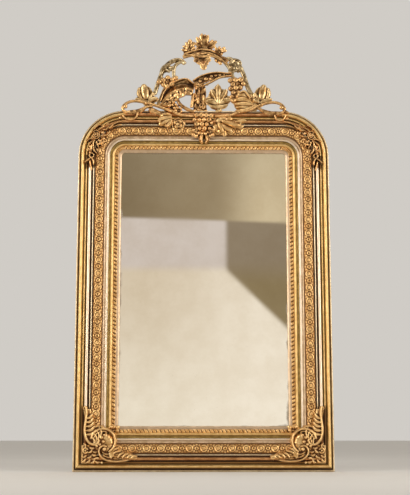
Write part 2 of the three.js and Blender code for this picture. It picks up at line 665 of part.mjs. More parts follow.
function battenScrewHoles() {
  return Object.values(BATTEN_SCREW_HEIGHTS).flatMap((z) => [
    cylinder(BATTEN.x, z, SCREW.headRadius + GAP, -CUT_BEHIND, BATTEN.counterbore),
    cylinder(BATTEN.x, z, SCREW.shankRadius + GAP, -CUT_BEHIND, BATTEN.counterbore + SCREW.length + GAP),
  ]);
}

function batten() {
  return battenBox(GAP, 0).subtract(union(battenScrewHoles()));
}

function battenScrew(z) {
  return screw(BATTEN.x, z, BATTEN.counterbore - GAP);
}

// ---- Assembly ----
const mirror = new THREE.Group();

function addPiece(name, solid, material) {
  const mesh = new THREE.Mesh(geometryOf(solid), material);
  mesh.name = name;
  mirror.add(mesh);
}

function addPair(name, leftSolid, makeMaterial) {
  addPiece(`${name}_left`, leftSolid, makeMaterial());
  addPiece(`${name}_right`, mirrored(leftSolid), makeMaterial());
}

// Carved pieces are fitted in turn: each is cut clear of the mouldings and of those before it.
function mouldingEnvelope() {
  const left = run(MOULDING_ENVELOPE, [([u, h]) => [-HALF_WIDTH + u, -h, u], leftStation(SHOULDER_Z)]);
  const bottom = run(MOULDING_ENVELOPE, [-1, 1].map((side) => ([u, h]) => [side * (HALF_WIDTH - u), -h, u]));
  const shoulder = run(MOULDING_ENVELOPE, shoulderStations());
  const top = run(MOULDING_ENVELOPE, [topStation(-SHOULDER_X), topStation(SHOULDER_X)]);
  return union([left, mirrored(left), bottom, shoulder, mirrored(shoulder), top]);
}

let occupied = mouldingEnvelope();

function addCarving(name, build, makeMaterial = leafGold) {
  const fitted = largestBody(build(0).subtract(occupied)).simplify(SIMPLIFY_WITHIN);
  occupied = occupied.add(build(GAP));
  addPiece(name, fitted, makeMaterial());
}

function addCarvingPair(name, build) {
  const fitted = largestBody(build(0).subtract(occupied)).simplify(SIMPLIFY_WITHIN);
  addPair(name, fitted, leafGold);
}

addPair('stile', stile(), oldPine);
addPiece('bottom_rail', bottomRail(), oldPine());
addPiece('top_rail', topRail(), oldPine());

addPair('outer_moulding', leftRun(OUTER_PROFILE), burnishedGold);
addPiece('outer_moulding_bottom', bottomRun(OUTER_PROFILE), burnishedGold());
const topEnds = [topStation(-SHOULDER_X + GAP), topStation(SHOULDER_X - GAP)];
addPiece('outer_moulding_top', run(OUTER_PROFILE, topEnds), burnishedGold());
addPair('outer_shoulder', run(OUTER_PROFILE, shoulderStations()), burnishedGold);

addPair('frieze', leftRun(FRIEZE_PROFILE), friezeGold);
addPiece('frieze_bottom', bottomRun(FRIEZE_PROFILE), friezeGold());
addPiece('frieze_top', archedTopRun(FRIEZE_PROFILE), friezeGold());

addPair('slip', leftRun(SLIP_PROFILE), matteGold);
addPiece('slip_bottom', bottomRun(SLIP_PROFILE), matteGold());
addPiece('slip_top', archedTopRun(SLIP_PROFILE), matteGold());

addPiece('mirror_plate', mirrorPlate(), mirrorGlass());
addPair('plate_wedge', sideWedge(), oldPine);
addPiece('plate_wedge_bottom', endWedge(CARCASS_WIDTH, GLASS_EDGE), oldPine());
addPiece('plate_wedge_top', endWedge(FRAME_HEIGHT - GLASS_EDGE, FRAME_HEIGHT - CARCASS_WIDTH), oldPine());
['left', 'centre', 'right'].forEach((place, i) => addPiece(`backboard_${place}`, backboard(i), oldPine()));

addPiece('hanger_strap_right', hangerStrap(), agedBrass());
addPiece('hanger_strap_left', mirrored(hangerStrap()), agedBrass());
addPiece('hanging_ring_right', hangingRing(), agedBrass());
addPiece('hanging_ring_left', mirrored(hangingRing()), agedBrass());
for (const [place, drop] of Object.entries(STRAP_SCREWS_BELOW_HINGE)) {
  addPiece(`strap_screw_right_${place}`, strapScrew(drop), darkIron());
  addPiece(`strap_screw_left_${place}`, mirrored(strapScrew(drop)), darkIron());
}
addPiece('crest_batten', batten(), oldPine());
for (const [place, z] of Object.entries(BATTEN_SCREW_HEIGHTS)) {
  addPiece(`batten_screw_${place}`, battenScrew(z), darkIron());
}

addCarvingPair('foot_cartouche', footCartouche);
addCarvingPair('shoulder_spray', shoulderSpray);

addCarving('crest_trunk', (grow) => crestTrunk(grow).subtract(union(battenScrewHoles())));
addCarving('crest_arch_left', crestArchLeft);
addCarving('crest_arch_right', crestArchRight);
addCarving('crest_horn', crestHorn);
addCarving('crest_shell', crestShell);
addCarving('crest_grapes_left', grapesLeft);
addCarving('crest_grapes_right', grapesRight);
addCarving('crest_vine_leaf', crestVineLeaf);
addCarving('crest_leaf_right', crestLeafRight);
addCarving('crest_top_leaf', crestTopLeaf);
addCarving('crest_side_leaf_left', sideLeafLeft);
addCarving('crest_side_leaf_right', sideLeafRight);
addCarving('crest_twig_left', twigLeft);
addCarving('crest_twig_right', twigRight);
addCarving('crest_rose', crestRose);
addCarving('crest_low_leaf_left', lowLeafLeft);
addCarving('crest_low_leaf_right', lowLeafRight);
addCarving('crest_drop', centreDrop);

mirror.position.z = -ORIGIN_HEIGHT;
const model = new THREE.Group();
model.add(mirror);

export default model;
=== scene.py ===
"""Looks of the overmantel mirror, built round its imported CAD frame.

Shapes are written in millimetres as x from the centreline, h forward from the flat back and z up
from the frame's lower edge, as in the CAD source. to_frame() turns them into the frame's metres.
Distances u are measured inward from the frame's outer edge. In a carved form t runs along its line
from 0 to 1, and s across it from -1 to 1.
"""

import math

import bpy
import bmesh
import numpy as np
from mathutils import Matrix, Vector


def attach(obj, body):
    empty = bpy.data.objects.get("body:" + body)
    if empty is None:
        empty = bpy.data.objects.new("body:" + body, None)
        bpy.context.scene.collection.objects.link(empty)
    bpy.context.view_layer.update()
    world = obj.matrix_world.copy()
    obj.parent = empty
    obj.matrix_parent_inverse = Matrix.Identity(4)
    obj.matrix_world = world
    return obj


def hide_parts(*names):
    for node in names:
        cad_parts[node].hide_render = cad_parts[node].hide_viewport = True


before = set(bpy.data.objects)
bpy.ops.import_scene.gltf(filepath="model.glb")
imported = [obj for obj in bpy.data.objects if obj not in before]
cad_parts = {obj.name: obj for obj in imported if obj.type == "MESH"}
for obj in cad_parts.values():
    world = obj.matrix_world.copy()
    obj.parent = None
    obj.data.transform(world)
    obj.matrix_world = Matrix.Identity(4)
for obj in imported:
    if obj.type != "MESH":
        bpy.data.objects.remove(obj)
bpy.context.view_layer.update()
SCENE = bpy.context.scene

# ---- Driving dimensions, the CAD source's own ----
FRAME_WIDTH, FRAME_HEIGHT = 920.0, 1310.0
SHOULDER_RADIUS = 171.0
ORIGIN_HEIGHT = 60.0
GAP = 0.3
HALF_WIDTH = FRAME_WIDTH / 2
SHOULDER_X = HALF_WIDTH - SHOULDER_RADIUS
SHOULDER_Z = FRAME_HEIGHT - SHOULDER_RADIUS
MOULDING_BACK = 20.3
LIP_BACK = 12.3
FRIEZE_START, FRIEZE_END = 62.6, 98.0
SIGHT_EDGE = 158.0
CARCASS_WIDTH = 136.0
HANGER_X, HINGE_Z, HINGE_HEIGHT = 401.0, 1040.0, 5.2


def to_frame(points):
    """Millimetre points [x, h, z] as frame coordinates in metres."""
    p = np.asarray(points, float).reshape(-1, 3)
    return np.column_stack([p[:, 0], -p[:, 1], p[:, 2] - ORIGIN_HEIGHT]) / 1000.0


# ---- Camera ----
CAMERA_PLACE = (-0.0596, -3.957, 0.058)
CAMERA_RISE, CAMERA_TURN = math.radians(9.802), math.radians(0.935)


def aim(thing, place, way):
    """Puts a camera or lamp in its place and turns it to look along a direction."""
    thing.location = place
    thing.rotation_mode = "QUATERNION"
    thing.rotation_quaternion = way.to_track_quat("-Z", "Y")
    SCENE.collection.objects.link(thing)


def make_camera():
    data = bpy.data.cameras.new("camera")
    data.sensor_width, data.lens = 36.0, 80.0
    data.dof.use_dof = False
    camera = bpy.data.objects.new("camera", data)
    level = math.cos(CAMERA_RISE)
    look = Vector((math.sin(CAMERA_TURN) * level, math.cos(CAMERA_TURN) * level, math.sin(CAMERA_RISE)))
    aim(camera, CAMERA_PLACE, look)
    SCENE.camera = camera


# ---- Materials ----
class Nodes:
    """A short way to write a material's nodes."""

    def __init__(self, tree):
        self.tree = tree

    def add(self, kind, inputs=None, **settings):
        node = self.tree.nodes.new(kind)
        for key, value in settings.items():
            setattr(node, key, value)
        for key, value in (inputs or {}).items():
            self.put(node.inputs[key], value)
        return node

    def put(self, socket, value):
        if isinstance(value, bpy.types.NodeSocket):
            self.tree.links.new(value, socket)
        else:
            socket.default_value = value

    def object_coords(self):
        return self.add("ShaderNodeTexCoord").outputs["Object"]

    def stretched(self, vector, scale):
        return self.add("ShaderNodeMapping", {"Vector": vector, "Scale": scale}).outputs[0]

    def noise(self, vector, scale, detail=3.0, rough=0.55):
        inputs = {"Vector": vector, "Scale": scale, "Detail": detail, "Roughness": rough}
        return self.add("ShaderNodeTexNoise", inputs).outputs["Fac"]

    def attribute(self, name):
        return self.add("ShaderNodeAttribute", attribute_name=name).outputs["Fac"]

    def math(self, operation, a, b=0.0, c=0.0):
        node = self.add("ShaderNodeMath", operation=operation)
        for socket, value in zip(node.inputs, (a, b, c)):
            self.put(socket, value)
        return node.outputs[0]

    def times(self, a, b):
        return self.math("MULTIPLY", a, b)

    def plus(self, a, b):
        return self.math("ADD", a, b)

    def less(self, a, b):
        return self.math("SUBTRACT", a, b)

    def size(self, a):
        return self.math("ABSOLUTE", a)

    def ramp(self, value, low, high, out_low=0.0, out_high=1.0):
        node = self.add("ShaderNodeMapRange", interpolation_type="SMOOTHSTEP")
        for socket, v in zip(node.inputs, (value, low, high, out_low, out_high)):
            self.put(socket, v)
        return node.outputs[0]

    def mix(self, factor, a, b):
        node = self.add("ShaderNodeMix", data_type="RGBA")
        self.put(node.inputs[0], factor)
        self.put(node.inputs[6], a)
        self.put(node.inputs[7], b)
        return node.outputs[2]

    def bump(self, height, strength, distance):
        inputs = {"Height": height, "Strength": strength, "Distance": distance}
        return self.add("ShaderNodeBump", inputs).outputs[0]


def srgb(r, g, b):
    """A colour as it looks, 0 to 255, for a node's socket."""
    linear = [(c / 255) / 12.92 if c <= 10 else ((c / 255 + 0.055) / 1.055) ** 2.4 for c in (r, g, b)]
    return (*linear, 1.0)


def new_material(name):
    material = bpy.data.materials.new(name)
    material.use_nodes = True
    nodes = Nodes(material.node_tree)
    shader = material.node_tree.nodes["Principled BSDF"]
    return material, nodes, shader


BOLE = srgb(120, 52, 30)
# dark brown of the gilding's hollows, patina with painted shade, and of patches on the backs
PATINA_AND_SHADE = srgb(70, 42, 17)
OLD_OCHRE = srgb(150, 116, 66)


def gilding(name, light, mid, dark, wear, rough=0.33, metal=0.85, mottle=45.0, blur=0.24, tooth=0.0004):
    """Leaf on bole. Relief 0.5 is flat; hollows get patina with painted shade, proud edges wear with painted
    highlight.
    """
    light, mid, dark = (srgb(*tone) for tone in (light, mid, dark))
    material, n, shader = new_material(f"{name}_gilding")
    where = n.object_coords()
    relief = n.attribute("relief")
    cloud = n.noise(where, mottle, 5.0, 0.6)
    grain = n.noise(where, 420.0, 3.0, 0.6)
    uneven = n.plus(relief, n.math("MULTIPLY_ADD", grain, blur, -blur / 2))
    colour = n.mix(n.ramp(cloud, 0.36, 0.66), mid, light)
    # hollows painted darker, as patina and painted shade; proud edges lighter, as wear and painted highlight
    colour = n.mix(n.ramp(uneven, 0.46, 0.70), colour, dark)
    colour = n.mix(n.ramp(uneven, 0.66, 0.94, 0.0, 0.95), colour, PATINA_AND_SHADE)
    colour = n.mix(n.ramp(uneven, 0.42, 0.16, 0.0, 0.85), colour, light)
    scuffs = n.noise(where, 130.0, 6.0, 0.7)
    bole = n.times(n.ramp(scuffs, 0.66, 0.74), wear)
    colour = n.mix(bole, colour, BOLE)
    behind = n.attribute("behind")
    colour = n.mix(behind, colour, n.mix(n.ramp(cloud, 0.35, 0.7), OLD_OCHRE, PATINA_AND_SHADE))
    n.put(shader.inputs["Base Color"], colour)
    dull = n.math("MAXIMUM", n.math("MAXIMUM", n.ramp(uneven, 0.6, 0.95), bole), behind)
    n.put(shader.inputs["Metallic"], n.math("MULTIPLY_ADD", dull, -metal * 0.8, metal))
    n.put(shader.inputs["Roughness"],
          n.plus(n.math("MULTIPLY_ADD", dull, 0.35, rough - 0.05), n.times(cloud, 0.12)))
    fine = n.plus(n.times(grain, 0.5), n.times(scuffs, 0.5))
    n.put(shader.inputs["Normal"], n.bump(fine, 0.3, tooth))
    return material


def timber(name, pale, brown, along, scale=1.0):
    """Pine with its grain along one axis: 'x' or 'z'."""
    material, n, shader = new_material(name)
    stretch = {"x": (1.2, 26.0, 26.0), "z": (26.0, 26.0, 1.2)}[along]
    where = n.stretched(n.object_coords(), tuple(scale * s for s in stretch))
    figure = n.times(n.noise(n.stretched(where, (0.16, 0.16, 0.16)), 1.0, 2.0), 46.0)
    rings = n.math("MULTIPLY_ADD", n.math("SINE", figure), 0.5, 0.5)
    fibres = n.noise(n.stretched(n.object_coords(), tuple(14 * s for s in stretch)), 1.0, 4.0)
    stain = n.noise(n.object_coords(), 7.0, 4.0, 0.6)
    colour = n.mix(n.ramp(rings, 0.1, 0.95, 0.0, 0.55), pale, brown)
    colour = n.mix(n.ramp(fibres, 0.4, 0.75, 0.0, 0.5), colour, brown)
    colour = n.mix(n.ramp(stain, 0.42, 0.8, 0.0, 0.5), colour, srgb(86, 64, 42))
    n.put(shader.inputs["Base Color"], colour)
    n.put(shader.inputs["Roughness"], n.ramp(stain, 0.3, 0.7, 0.62, 0.85))
    height = n.plus(n.times(fibres, 0.6), n.times(rings, 0.4))
    n.put(shader.inputs["Normal"], n.bump(height, 0.5, 0.0008))
    return material


def metal_finish(name, bright, dull, rough):
    material, n, shader = new_material(name)
    where = n.object_coords()
    tarnish = n.noise(where, 70.0, 4.0, 0.6)
    scratches = n.noise(n.stretched(where, (900.0, 900.0, 90.0)), 1.0, 2.0)
    colour = n.mix(n.ramp(tarnish, 0.38, 0.68), bright, dull)
    n.put(shader.inputs["Base Color"], colour)
    n.put(shader.inputs["Metallic"], n.ramp(tarnish, 0.4, 0.8, 0.95, 0.55))
    n.put(shader.inputs["Roughness"], n.ramp(tarnish, 0.3, 0.75, rough, rough + 0.3))
    n.put(shader.inputs["Normal"], n.bump(scratches, 0.12, 0.0001))
    return material


def old_silvering():
    """The plate: clear in the middle, faintly foxed, and duller where the silvering meets the frame."""
    half_wide, half_high = (HALF_WIDTH - SIGHT_EDGE) / 1000, (FRAME_HEIGHT / 2 - SIGHT_EDGE) / 1000
    middle = (FRAME_HEIGHT / 2 - ORIGIN_HEIGHT) / 1000
    material, n, shader = new_material("old_silvering")
    where = n.object_coords()
    part = n.add("ShaderNodeSeparateXYZ", {"Vector": where}).outputs
    to_side = n.less(half_wide, n.size(part["X"]))
    to_end = n.less(half_high, n.size(n.less(part["Z"], middle)))
    cloud = n.noise(where, 9.0, 5.0, 0.6)
    rim = n.times(n.less(cloud, 0.5), 0.05)
    edge = n.ramp(n.plus(n.math("MINIMUM", to_side, to_end), rim), 0.004, -0.008)
    specks = n.noise(where, 260.0, 2.0, 0.5)
    patches = n.noise(where, 14.0, 3.0, 0.6)
    spots = n.times(n.ramp(specks, 0.70, 0.76), n.ramp(patches, 0.52, 0.66))
    colour = n.mix(n.ramp(cloud, 0.3, 0.7), srgb(244, 240, 232), srgb(236, 230, 219))
    colour = n.mix(n.times(spots, 0.55), colour, srgb(150, 132, 104))
    colour = n.mix(n.times(edge, 0.5), colour, srgb(140, 116, 84))
    n.put(shader.inputs["Base Color"], colour)
    shader.inputs["Metallic"].default_value = 1.0
    haze = n.math("MAXIMUM", n.times(spots, 0.3), n.times(edge, 0.25))
    n.put(shader.inputs["Roughness"], n.plus(n.ramp(cloud, 0.3, 0.8, 0.012, 0.03), haze))
    return material


GILDINGS = {
    "satin": ((246, 210, 144), (226, 184, 114), (152, 110, 54), dict(rough=0.38, metal=0.8, wear=0.25)),
    # pale: narrow edges, gesso showing through with a painted highlight
    "pale": ((244, 226, 190), (216, 188, 144), (124, 96, 56), dict(rough=0.36, wear=0.25)),
    "rosy": ((222, 194, 162), (194, 164, 128), (126, 98, 68), dict(rough=0.4, metal=0.7, wear=0.2)),
    # near-white burnished gold: a painted highlight on the members that catch the side lamps
    "burnished_highlight": ((255, 238, 214), (250, 226, 194), (130, 86, 50),
        dict(rough=0.36, metal=0.9, wear=0.1, mottle=30.0, tooth=0.00003)),
    # darker, redder gold with bole scuffs: wear, and painted shade on runs that face away from the side lamps
    "worn_and_shaded": ((222, 168, 112), (166, 112, 66), (98, 54, 28),
        dict(rough=0.3, metal=0.8, wear=1.0, mottle=30.0)),
    "olive": ((184, 154, 90), (142, 116, 60), (94, 74, 34), dict(rough=0.4, metal=0.7, wear=0.25)),
    "groove": ((116, 84, 42), (84, 56, 26), (52, 30, 12), dict(rough=0.55, metal=0.35, wear=0.4)),
    "frieze": ((246, 202, 136), (208, 158, 94), (134, 90, 44),
        dict(rough=0.34, metal=0.75, wear=0.3, blur=0.2)),
    "leaf": ((254, 216, 154), (206, 156, 92), (96, 58, 24),
        dict(metal=0.8, wear=0.3, blur=0.14, tooth=0.0003)),
    "crest": ((255, 206, 140), (116, 72, 32), (46, 23, 8),
        dict(rough=0.28, wear=0.3, blur=0.12, tooth=0.00025)),
    "cream": ((255, 222, 164), (164, 124, 72), (68, 44, 18),
        dict(metal=0.8, wear=0.2, blur=0.12, tooth=0.00025)),
    "silvery": ((242, 218, 172), (120, 92, 50), (50, 34, 14),
        dict(rough=0.27, metal=0.88, wear=0.2, blur=0.12, tooth=0.00025)),
}
GOLD = {kind: gilding(kind, *tones, **finish) for kind, (*tones, finish) in GILDINGS.items()}
PINE_X = timber("pine_rail", srgb(168, 128, 84), srgb(120, 82, 48), "x")
PINE_Z = timber("pine_stile", srgb(168, 128, 84), srgb(120, 82, 48), "z")
BOARD = timber("old_board", srgb(164, 126, 86), srgb(110, 78, 50), "z", 0.8)
WEDGE = timber("wedge_wood", srgb(178, 142, 98), srgb(134, 98, 60), "z", 2.0)
PLATE = old_silvering()
BRASS = metal_finish("aged_brass", srgb(206, 160, 92), srgb(124, 90, 50), 0.34)
IRON = metal_finish("dark_iron", srgb(104, 98, 92), srgb(62, 48, 38), 0.42)


# ---- Meshes ----
def strips(rows, around, start=0, closed=False):
    """Quads between rows of points that each run round a section, and back to the first row if closed."""
    return [[start + i * around + j, start + i * around + (j + 1) % around,
             start + (i + 1) % rows * around + (j + 1) % around, start + (i + 1) % rows * around + j]
            for i in range(rows if closed else rows - 1) for j in range(around)]


def end_caps(rows, around):
    return [list(range(around)), list(range((rows - 1) * around, rows * around))]


def add_piece(name, verts, faces, materials, replaced, body="frame", face_kind=None, angle=35):
    """Makes an object from millimetre points, has it ride, and hides the CAD parts that it replaces."""
    mesh = bpy.data.meshes.new(name)
    mesh.from_pydata(to_frame(verts).tolist(), [], faces)
    for material in materials:
        mesh.materials.append(material)
    if face_kind is not None:
        mesh.polygons.foreach_set("material_index", np.asarray(face_kind, np.int32))
    work = bmesh.new()
    work.from_mesh(mesh)
    bmesh.ops.recalc_face_normals(work, faces=work.faces)
    work.to_mesh(mesh)
    work.free()
    mesh.shade_smooth()
    if angle:
        mesh.set_sharp_from_angle(angle=math.radians(angle))
    piece = bpy.data.objects.new(name, mesh)
    SCENE.collection.objects.link(piece)
    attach(piece, body)
    if replaced:
        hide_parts(*replaced)
    return piece


def set_attribute(mesh, name, values):
    layer = mesh.attributes.get(name) or mesh.attributes.new(name, "FLOAT", "POINT")
    layer.data.foreach_set("value", np.asarray(values, np.float32))


def vertex_array(mesh, field="co"):
    values = np.zeros(len(mesh.vertices) * 3, np.float32)
    if field == "co":
        mesh.vertices.foreach_get("co", values)
    else:
        mesh.vertex_normals.foreach_get("vector", values)
    return values.reshape(-1, 3).astype(float)


def neighbour_mean(values, edges, counts):
    """Each vertex's mean over its neighbours, column by column."""
    n = len(values)
    a, b = edges[:, 0], edges[:, 1]
    total = [np.bincount(a, values[b, k], n) + np.bincount(b, values[a, k], n)
        for k in range(values.shape[1])]
    return np.column_stack(total) / counts[:, None]


def edge_array(mesh):
    edges = np.zeros(len(mesh.edges) * 2, np.int32)
    mesh.edges.foreach_get("vertices", edges)
    edges = edges.reshape(-1, 2)
    counts = np.maximum(np.bincount(edges.ravel(), minlength=len(mesh.vertices)), 1)
    return edges, counts


FINE_DEPTH, FINE_ROUNDS = 0.0006, 6
COARSE_DEPTH, COARSE_ROUNDS = 0.0026, 48


def mark_relief(mesh):
    """Stores how far each point lies in a hollow (towards 1) or on a proud edge (towards 0)."""
    co, normal = vertex_array(mesh), vertex_array(mesh, "normal")
    edges, counts = edge_array(mesh)
    level, smooth = np.zeros(len(co)), co.copy()
    for i in range(COARSE_ROUNDS):
        smooth = neighbour_mean(smooth, edges, counts)
        if i + 1 == FINE_ROUNDS:
            level += 0.4 * np.tanh(np.einsum("ij,ij->i", normal, smooth - co) / FINE_DEPTH)
    level += 0.6 * np.tanh(np.einsum("ij,ij->i", normal, smooth - co) / COARSE_DEPTH)
    # The gilding paints this as patina and painted shade in hollows, wear and painted highlight on edges.
    set_attribute(mesh, "relief", np.clip(0.5 + 0.5 * level, 0, 1))
    mark_behind(mesh)


def mark_behind(mesh):
    """Stores which points look to the wall, where the gilder left ochre paint."""
    normal = vertex_array(mesh, "normal")
    set_attribute(mesh, "behind", np.clip((normal[:, 1] - 0.35) / 0.3, 0, 1))


# ---- Mouldings ----
def round_member(u0, u1, low, high, steps=14):
    angle = np.pi * np.arange(steps + 1) / steps
    return [((u0 + u1) / 2 - (u1 - u0) / 2 * math.cos(a), low + (high - low) * math.sin(a)) for a in angle]


def member_relief(points, low, high):
    """Relief along a rounded member: its foot is a hollow and its top is proud."""
    return [0.58 - 0.26 * (h - low) / (high - low) for _, h in points]


def build_profile(members):
    """Joins members (points, kind, relief) into arrays of points, relief, and the kind of each stretch."""
    points, relief, kinds = [], [], []
    for member, kind, level in members:
        level = level if isinstance(level, list) else [level] * len(member)
        if points:
            kinds.append(kind)
        points += list(member)
        relief += level
        kinds += [kind] * (len(member) - 1)
    return np.array(points, float), np.array(relief), kinds


def flat(u0, u1, h, ease=0.5):
    return [(u0, h - ease), (u0 + ease, h), (u1 - ease, h), (u1, h - ease)]


def full_member(u0, u1, low, high, steps=16):
    """A rounded member with a broad top."""
    power = 2.6
    across = -np.cos(np.pi * np.arange(steps + 1) / steps)
    rise = (1 - np.abs(across) ** power) ** (1 / power)
    return [((u0 + u1) / 2 + (u1 - u0) / 2 * a, low + (high - low) * r) for a, r in zip(across, rise)]


def outer_members(torus_kind, bead_kind, hollow_kind="groove"):
    wide = round_member(11, 24, 34, 44)
    bead = full_member(39, 50, 36, 46)
    return [
        ([(0, MOULDING_BACK), (0, 26)], "pale", 0.6), (full_member(0, 6.5, 27, 31, 8), "pale", 0.32),
        (flat(7, 10.5, 27, 0.2), hollow_kind, 0.7), (wide, torus_kind, member_relief(wide, 34, 44)),
        (flat(24.5, 28.5, 34, 0.2), "olive", 0.6), (full_member(29, 34, 36, 38, 8), "satin", 0.4),
        (flat(34.5, 38.5, 33, 0.2), "olive", 0.66), (bead, bead_kind, member_relief(bead, 33, 46)),
        (flat(50.5, 55.5, 37, 0.2), hollow_kind, 0.85), (full_member(56, 60, 39.6, 42, 8), "pale", 0.3),
        (flat(60.3, FRIEZE_START, 37, 0.2), hollow_kind, 0.7),
        ([(FRIEZE_START, MOULDING_BACK)], "groove", 0.8),
    ]


def along_left(u, h, t):
    """A left side point: t runs from the foot mitre to the shoulder."""
    z = (u + GAP) + t * (SHOULDER_Z - GAP - (u + GAP))
    return -HALF_WIDTH + u, h, z, z


def along_bottom(u, h, t):
    reach = HALF_WIDTH - u - GAP
    return (2 * t - 1) * reach, h, u + 0 * t, (2 * t - 1) * reach


def along_top(u, h, t):
    x = (2 * t - 1) * (SHOULDER_X - GAP)
    return x, h, FRAME_HEIGHT - u + 0 * t, x


def along_shoulder(u, h, t):
    radius = SHOULDER_RADIUS - u
    angle = np.pi * (1 - 0.5 * t)
    return -SHOULDER_X + radius * np.cos(angle), h, SHOULDER_Z + radius * np.sin(angle), 140 * t


ARC_LENGTH = 0.5 * math.pi * (SHOULDER_RADIUS - 80)  # along the middle of the frieze


def along_arch(u, h, t):
    """Left shoulder, top and right shoulder in one run."""
    total = 2 * ARC_LENGTH + 2 * SHOULDER_X
    s = t * total
    arc = np.clip(s / ARC_LENGTH, 0, 1)
    far = np.clip((s - ARC_LENGTH - 2 * SHOULDER_X) / ARC_LENGTH, 0, 1)
    turn = np.pi * (1 - 0.5 * arc) - 0.5 * np.pi * far
    middle = -SHOULDER_X + np.clip(s - ARC_LENGTH, 0, 2 * SHOULDER_X)
    radius = SHOULDER_RADIUS - u
    return middle + radius * np.cos(turn), h, SHOULDER_Z + radius * np.sin(turn), s - total / 2


def waver(s, u):
    """The small unevenness of old gesso along a run."""
    return 0.1 * (np.sin(s / 43.0 + u * 0.2) + np.sin(s / 97.0 + u * 0.11 + 2.0)
        + 0.4 * np.sin(s / 19.1 + 0.5 * u))


def sweep(profile, along, count, relief_height=None, mirror=False):
    """A profile carried along a run and closed across its back and ends: its points, faces, and the patina
    and painted shade of its relief.
    """
    u, h = profile[:, 0][None, :], profile[:, 1][None, :]
    t = np.linspace(0, 1, count + 1)[:, None]
    grid = [np.broadcast_to(v, (count + 1, u.shape[1])).astype(float) for v in (*along(u, h, t), u)]
    x, height, z, s, across = grid
    on_front = (height > MOULDING_BACK + 0.5) | (across > CARCASS_WIDTH)
    raised, shade_and_patina = relief_height(s, across) if relief_height else (0 * s, np.nan * s)
    raised = np.where(on_front, raised, 0)
    height = height + raised + np.where(on_front, waver(s, across), 0)
    verts = np.stack([-x if mirror else x, height, z], axis=2).reshape(-1, 3)
    faces = strips(count + 1, u.shape[1]) + end_caps(count + 1, u.shape[1])
    return verts, faces, np.where(on_front, shade_and_patina, np.nan).ravel()


def add_moulding(name, members, along, count, node, relief_height=None, mirror=False, shade=None):
    profile, relief, kinds = build_profile(members)
    verts, faces, shade_and_patina = sweep(profile, along, count, relief_height, mirror)
    order = list(dict.fromkeys(kinds))
    stretch = [order.index(k) for k in kinds] + [0]
    piece = add_piece(name, verts, faces, [GOLD[k] for k in order], [node],
        face_kind=stretch * count + [0, 0])
    relief = np.where(np.isnan(shade_and_patina), np.tile(relief, count + 1), shade_and_patina)
    if shade:
        relief = relief + shade(1000 * vertex_array(piece.data) + [0, 0, ORIGIN_HEIGHT])
    set_attribute(piece.data, "relief", np.clip(relief, 0, 1))
    mark_behind(piece.data)


def corner_shade_and_dust(points):
    """Painted shade, with some dust, on the bead and its grooves where the corner ornaments lie over them."""
    inner = np.clip((HALF_WIDTH - 27 - np.abs(points[:, 0])) / 3, 0, 1)
    ends = np.clip((232 - points[:, 2]) / 10, 0, 1) + np.clip((points[:, 2] - 1080) / 14, 0, 1)
    return 0.42 * inner * ends


def rail_painted_shade(points):
    """Painted shade on the bottom rail, lit from above: groove and lower torus, and the band just above the
    torus.
    """
    z = points[:, 2]
    dark = bump_at((z - 12.5) / 4, 1.0) + np.clip((z - 25) / 2, 0, 1) * np.clip((41 - z) / 3, 0, 1)
    return 0.34 * dark


def bump_at(distance, width):
    return np.exp(-((distance / width) ** 2))


FRIEZE_MIDDLE = 80.5
MOTIF_LENGTH = 50.0


def frieze_relief(s, u):
    """Height, and patina with painted shade and highlight, of ringed rosettes with small flowers, curls and
    pits between them.
    """
    a = (s + MOTIF_LENGTH / 2) % MOTIF_LENGTH - MOTIF_LENGTH / 2
    b = u - FRIEZE_MIDDLE
    r, turn = np.hypot(a, b), np.arctan2(b, a)
    high = 1.8 * bump_at(r - 11.0, 2.4) * (0.6 + 0.4 * np.cos(turn - 0.8) ** 2)
    high = high + np.where(r < 8.5, 1.5 * bump_at(r - 4.8, 2.0) * (0.45 + 0.55 * np.cos(2.5 * turn) ** 2), 0)
    high = high + 1.6 * bump_at(r, 1.8)
    pits = 0.8 * bump_at(r - 7.4, 1.3) * (0.4 + 0.6 * np.cos(2 * turn) ** 2) + 0.6 * bump_at(r - 14.8, 1.5)
    for sa, sb in ((1, 1), (1, -1), (-1, 1), (-1, -1)):
        curl = np.hypot(a - sa * 14.5, b - sb * 9.5)
        high = high + 1.25 * bump_at(curl - 2.9, 1.1) + 0.9 * bump_at(curl, 1.0)
        high = high + 0.9 * bump_at(np.hypot(a - sa * 7.0, b - sb * 14.6), 2.0)
        pits = pits + bump_at(np.hypot(a - sa * 19.5, b - sb * 7.2), 1.5)
    far = MOTIF_LENGTH / 2 - np.abs(a)
    link = np.hypot(far, b)
    high = high + 1.35 * bump_at(link - 5.2, 1.6) * (0.5 + 0.5 * np.cos(4 * np.arctan2(b, far)) ** 2)
    high = high + 1.1 * bump_at(np.hypot(far - 1.0, np.abs(b) - 12.5), 2.3)
    pits = pits + 0.5 * bump_at(link, 1.4) + 0.6 * bump_at(np.hypot(far, np.abs(b) - 8.6), 1.3)
    ground = 0.14 * np.cos(s * 2.2) * np.cos(u * 2.2)
    edge = np.clip((17.6 - np.abs(b)) / 2.0, 0, 1)
    height = edge * (np.minimum(high, 2.0) * 1.15 + ground - 1.1 - 0.6 * np.minimum(pits, 1))
    # Painted shade and highlight with patina: ground and pits darker, raised rings lighter, both edges darker
    # across the bulge.
    shade_and_patina = 0.43 - 0.22 * height + 0.25 * np.minimum(pits, 1) + 0.32 * np.clip((np.abs(b) - 14.5) / 2.5, 0, 1)
    return height, shade_and_patina


STROKE_LENGTH = 14.5
ROPE_MIDDLE = 140.5


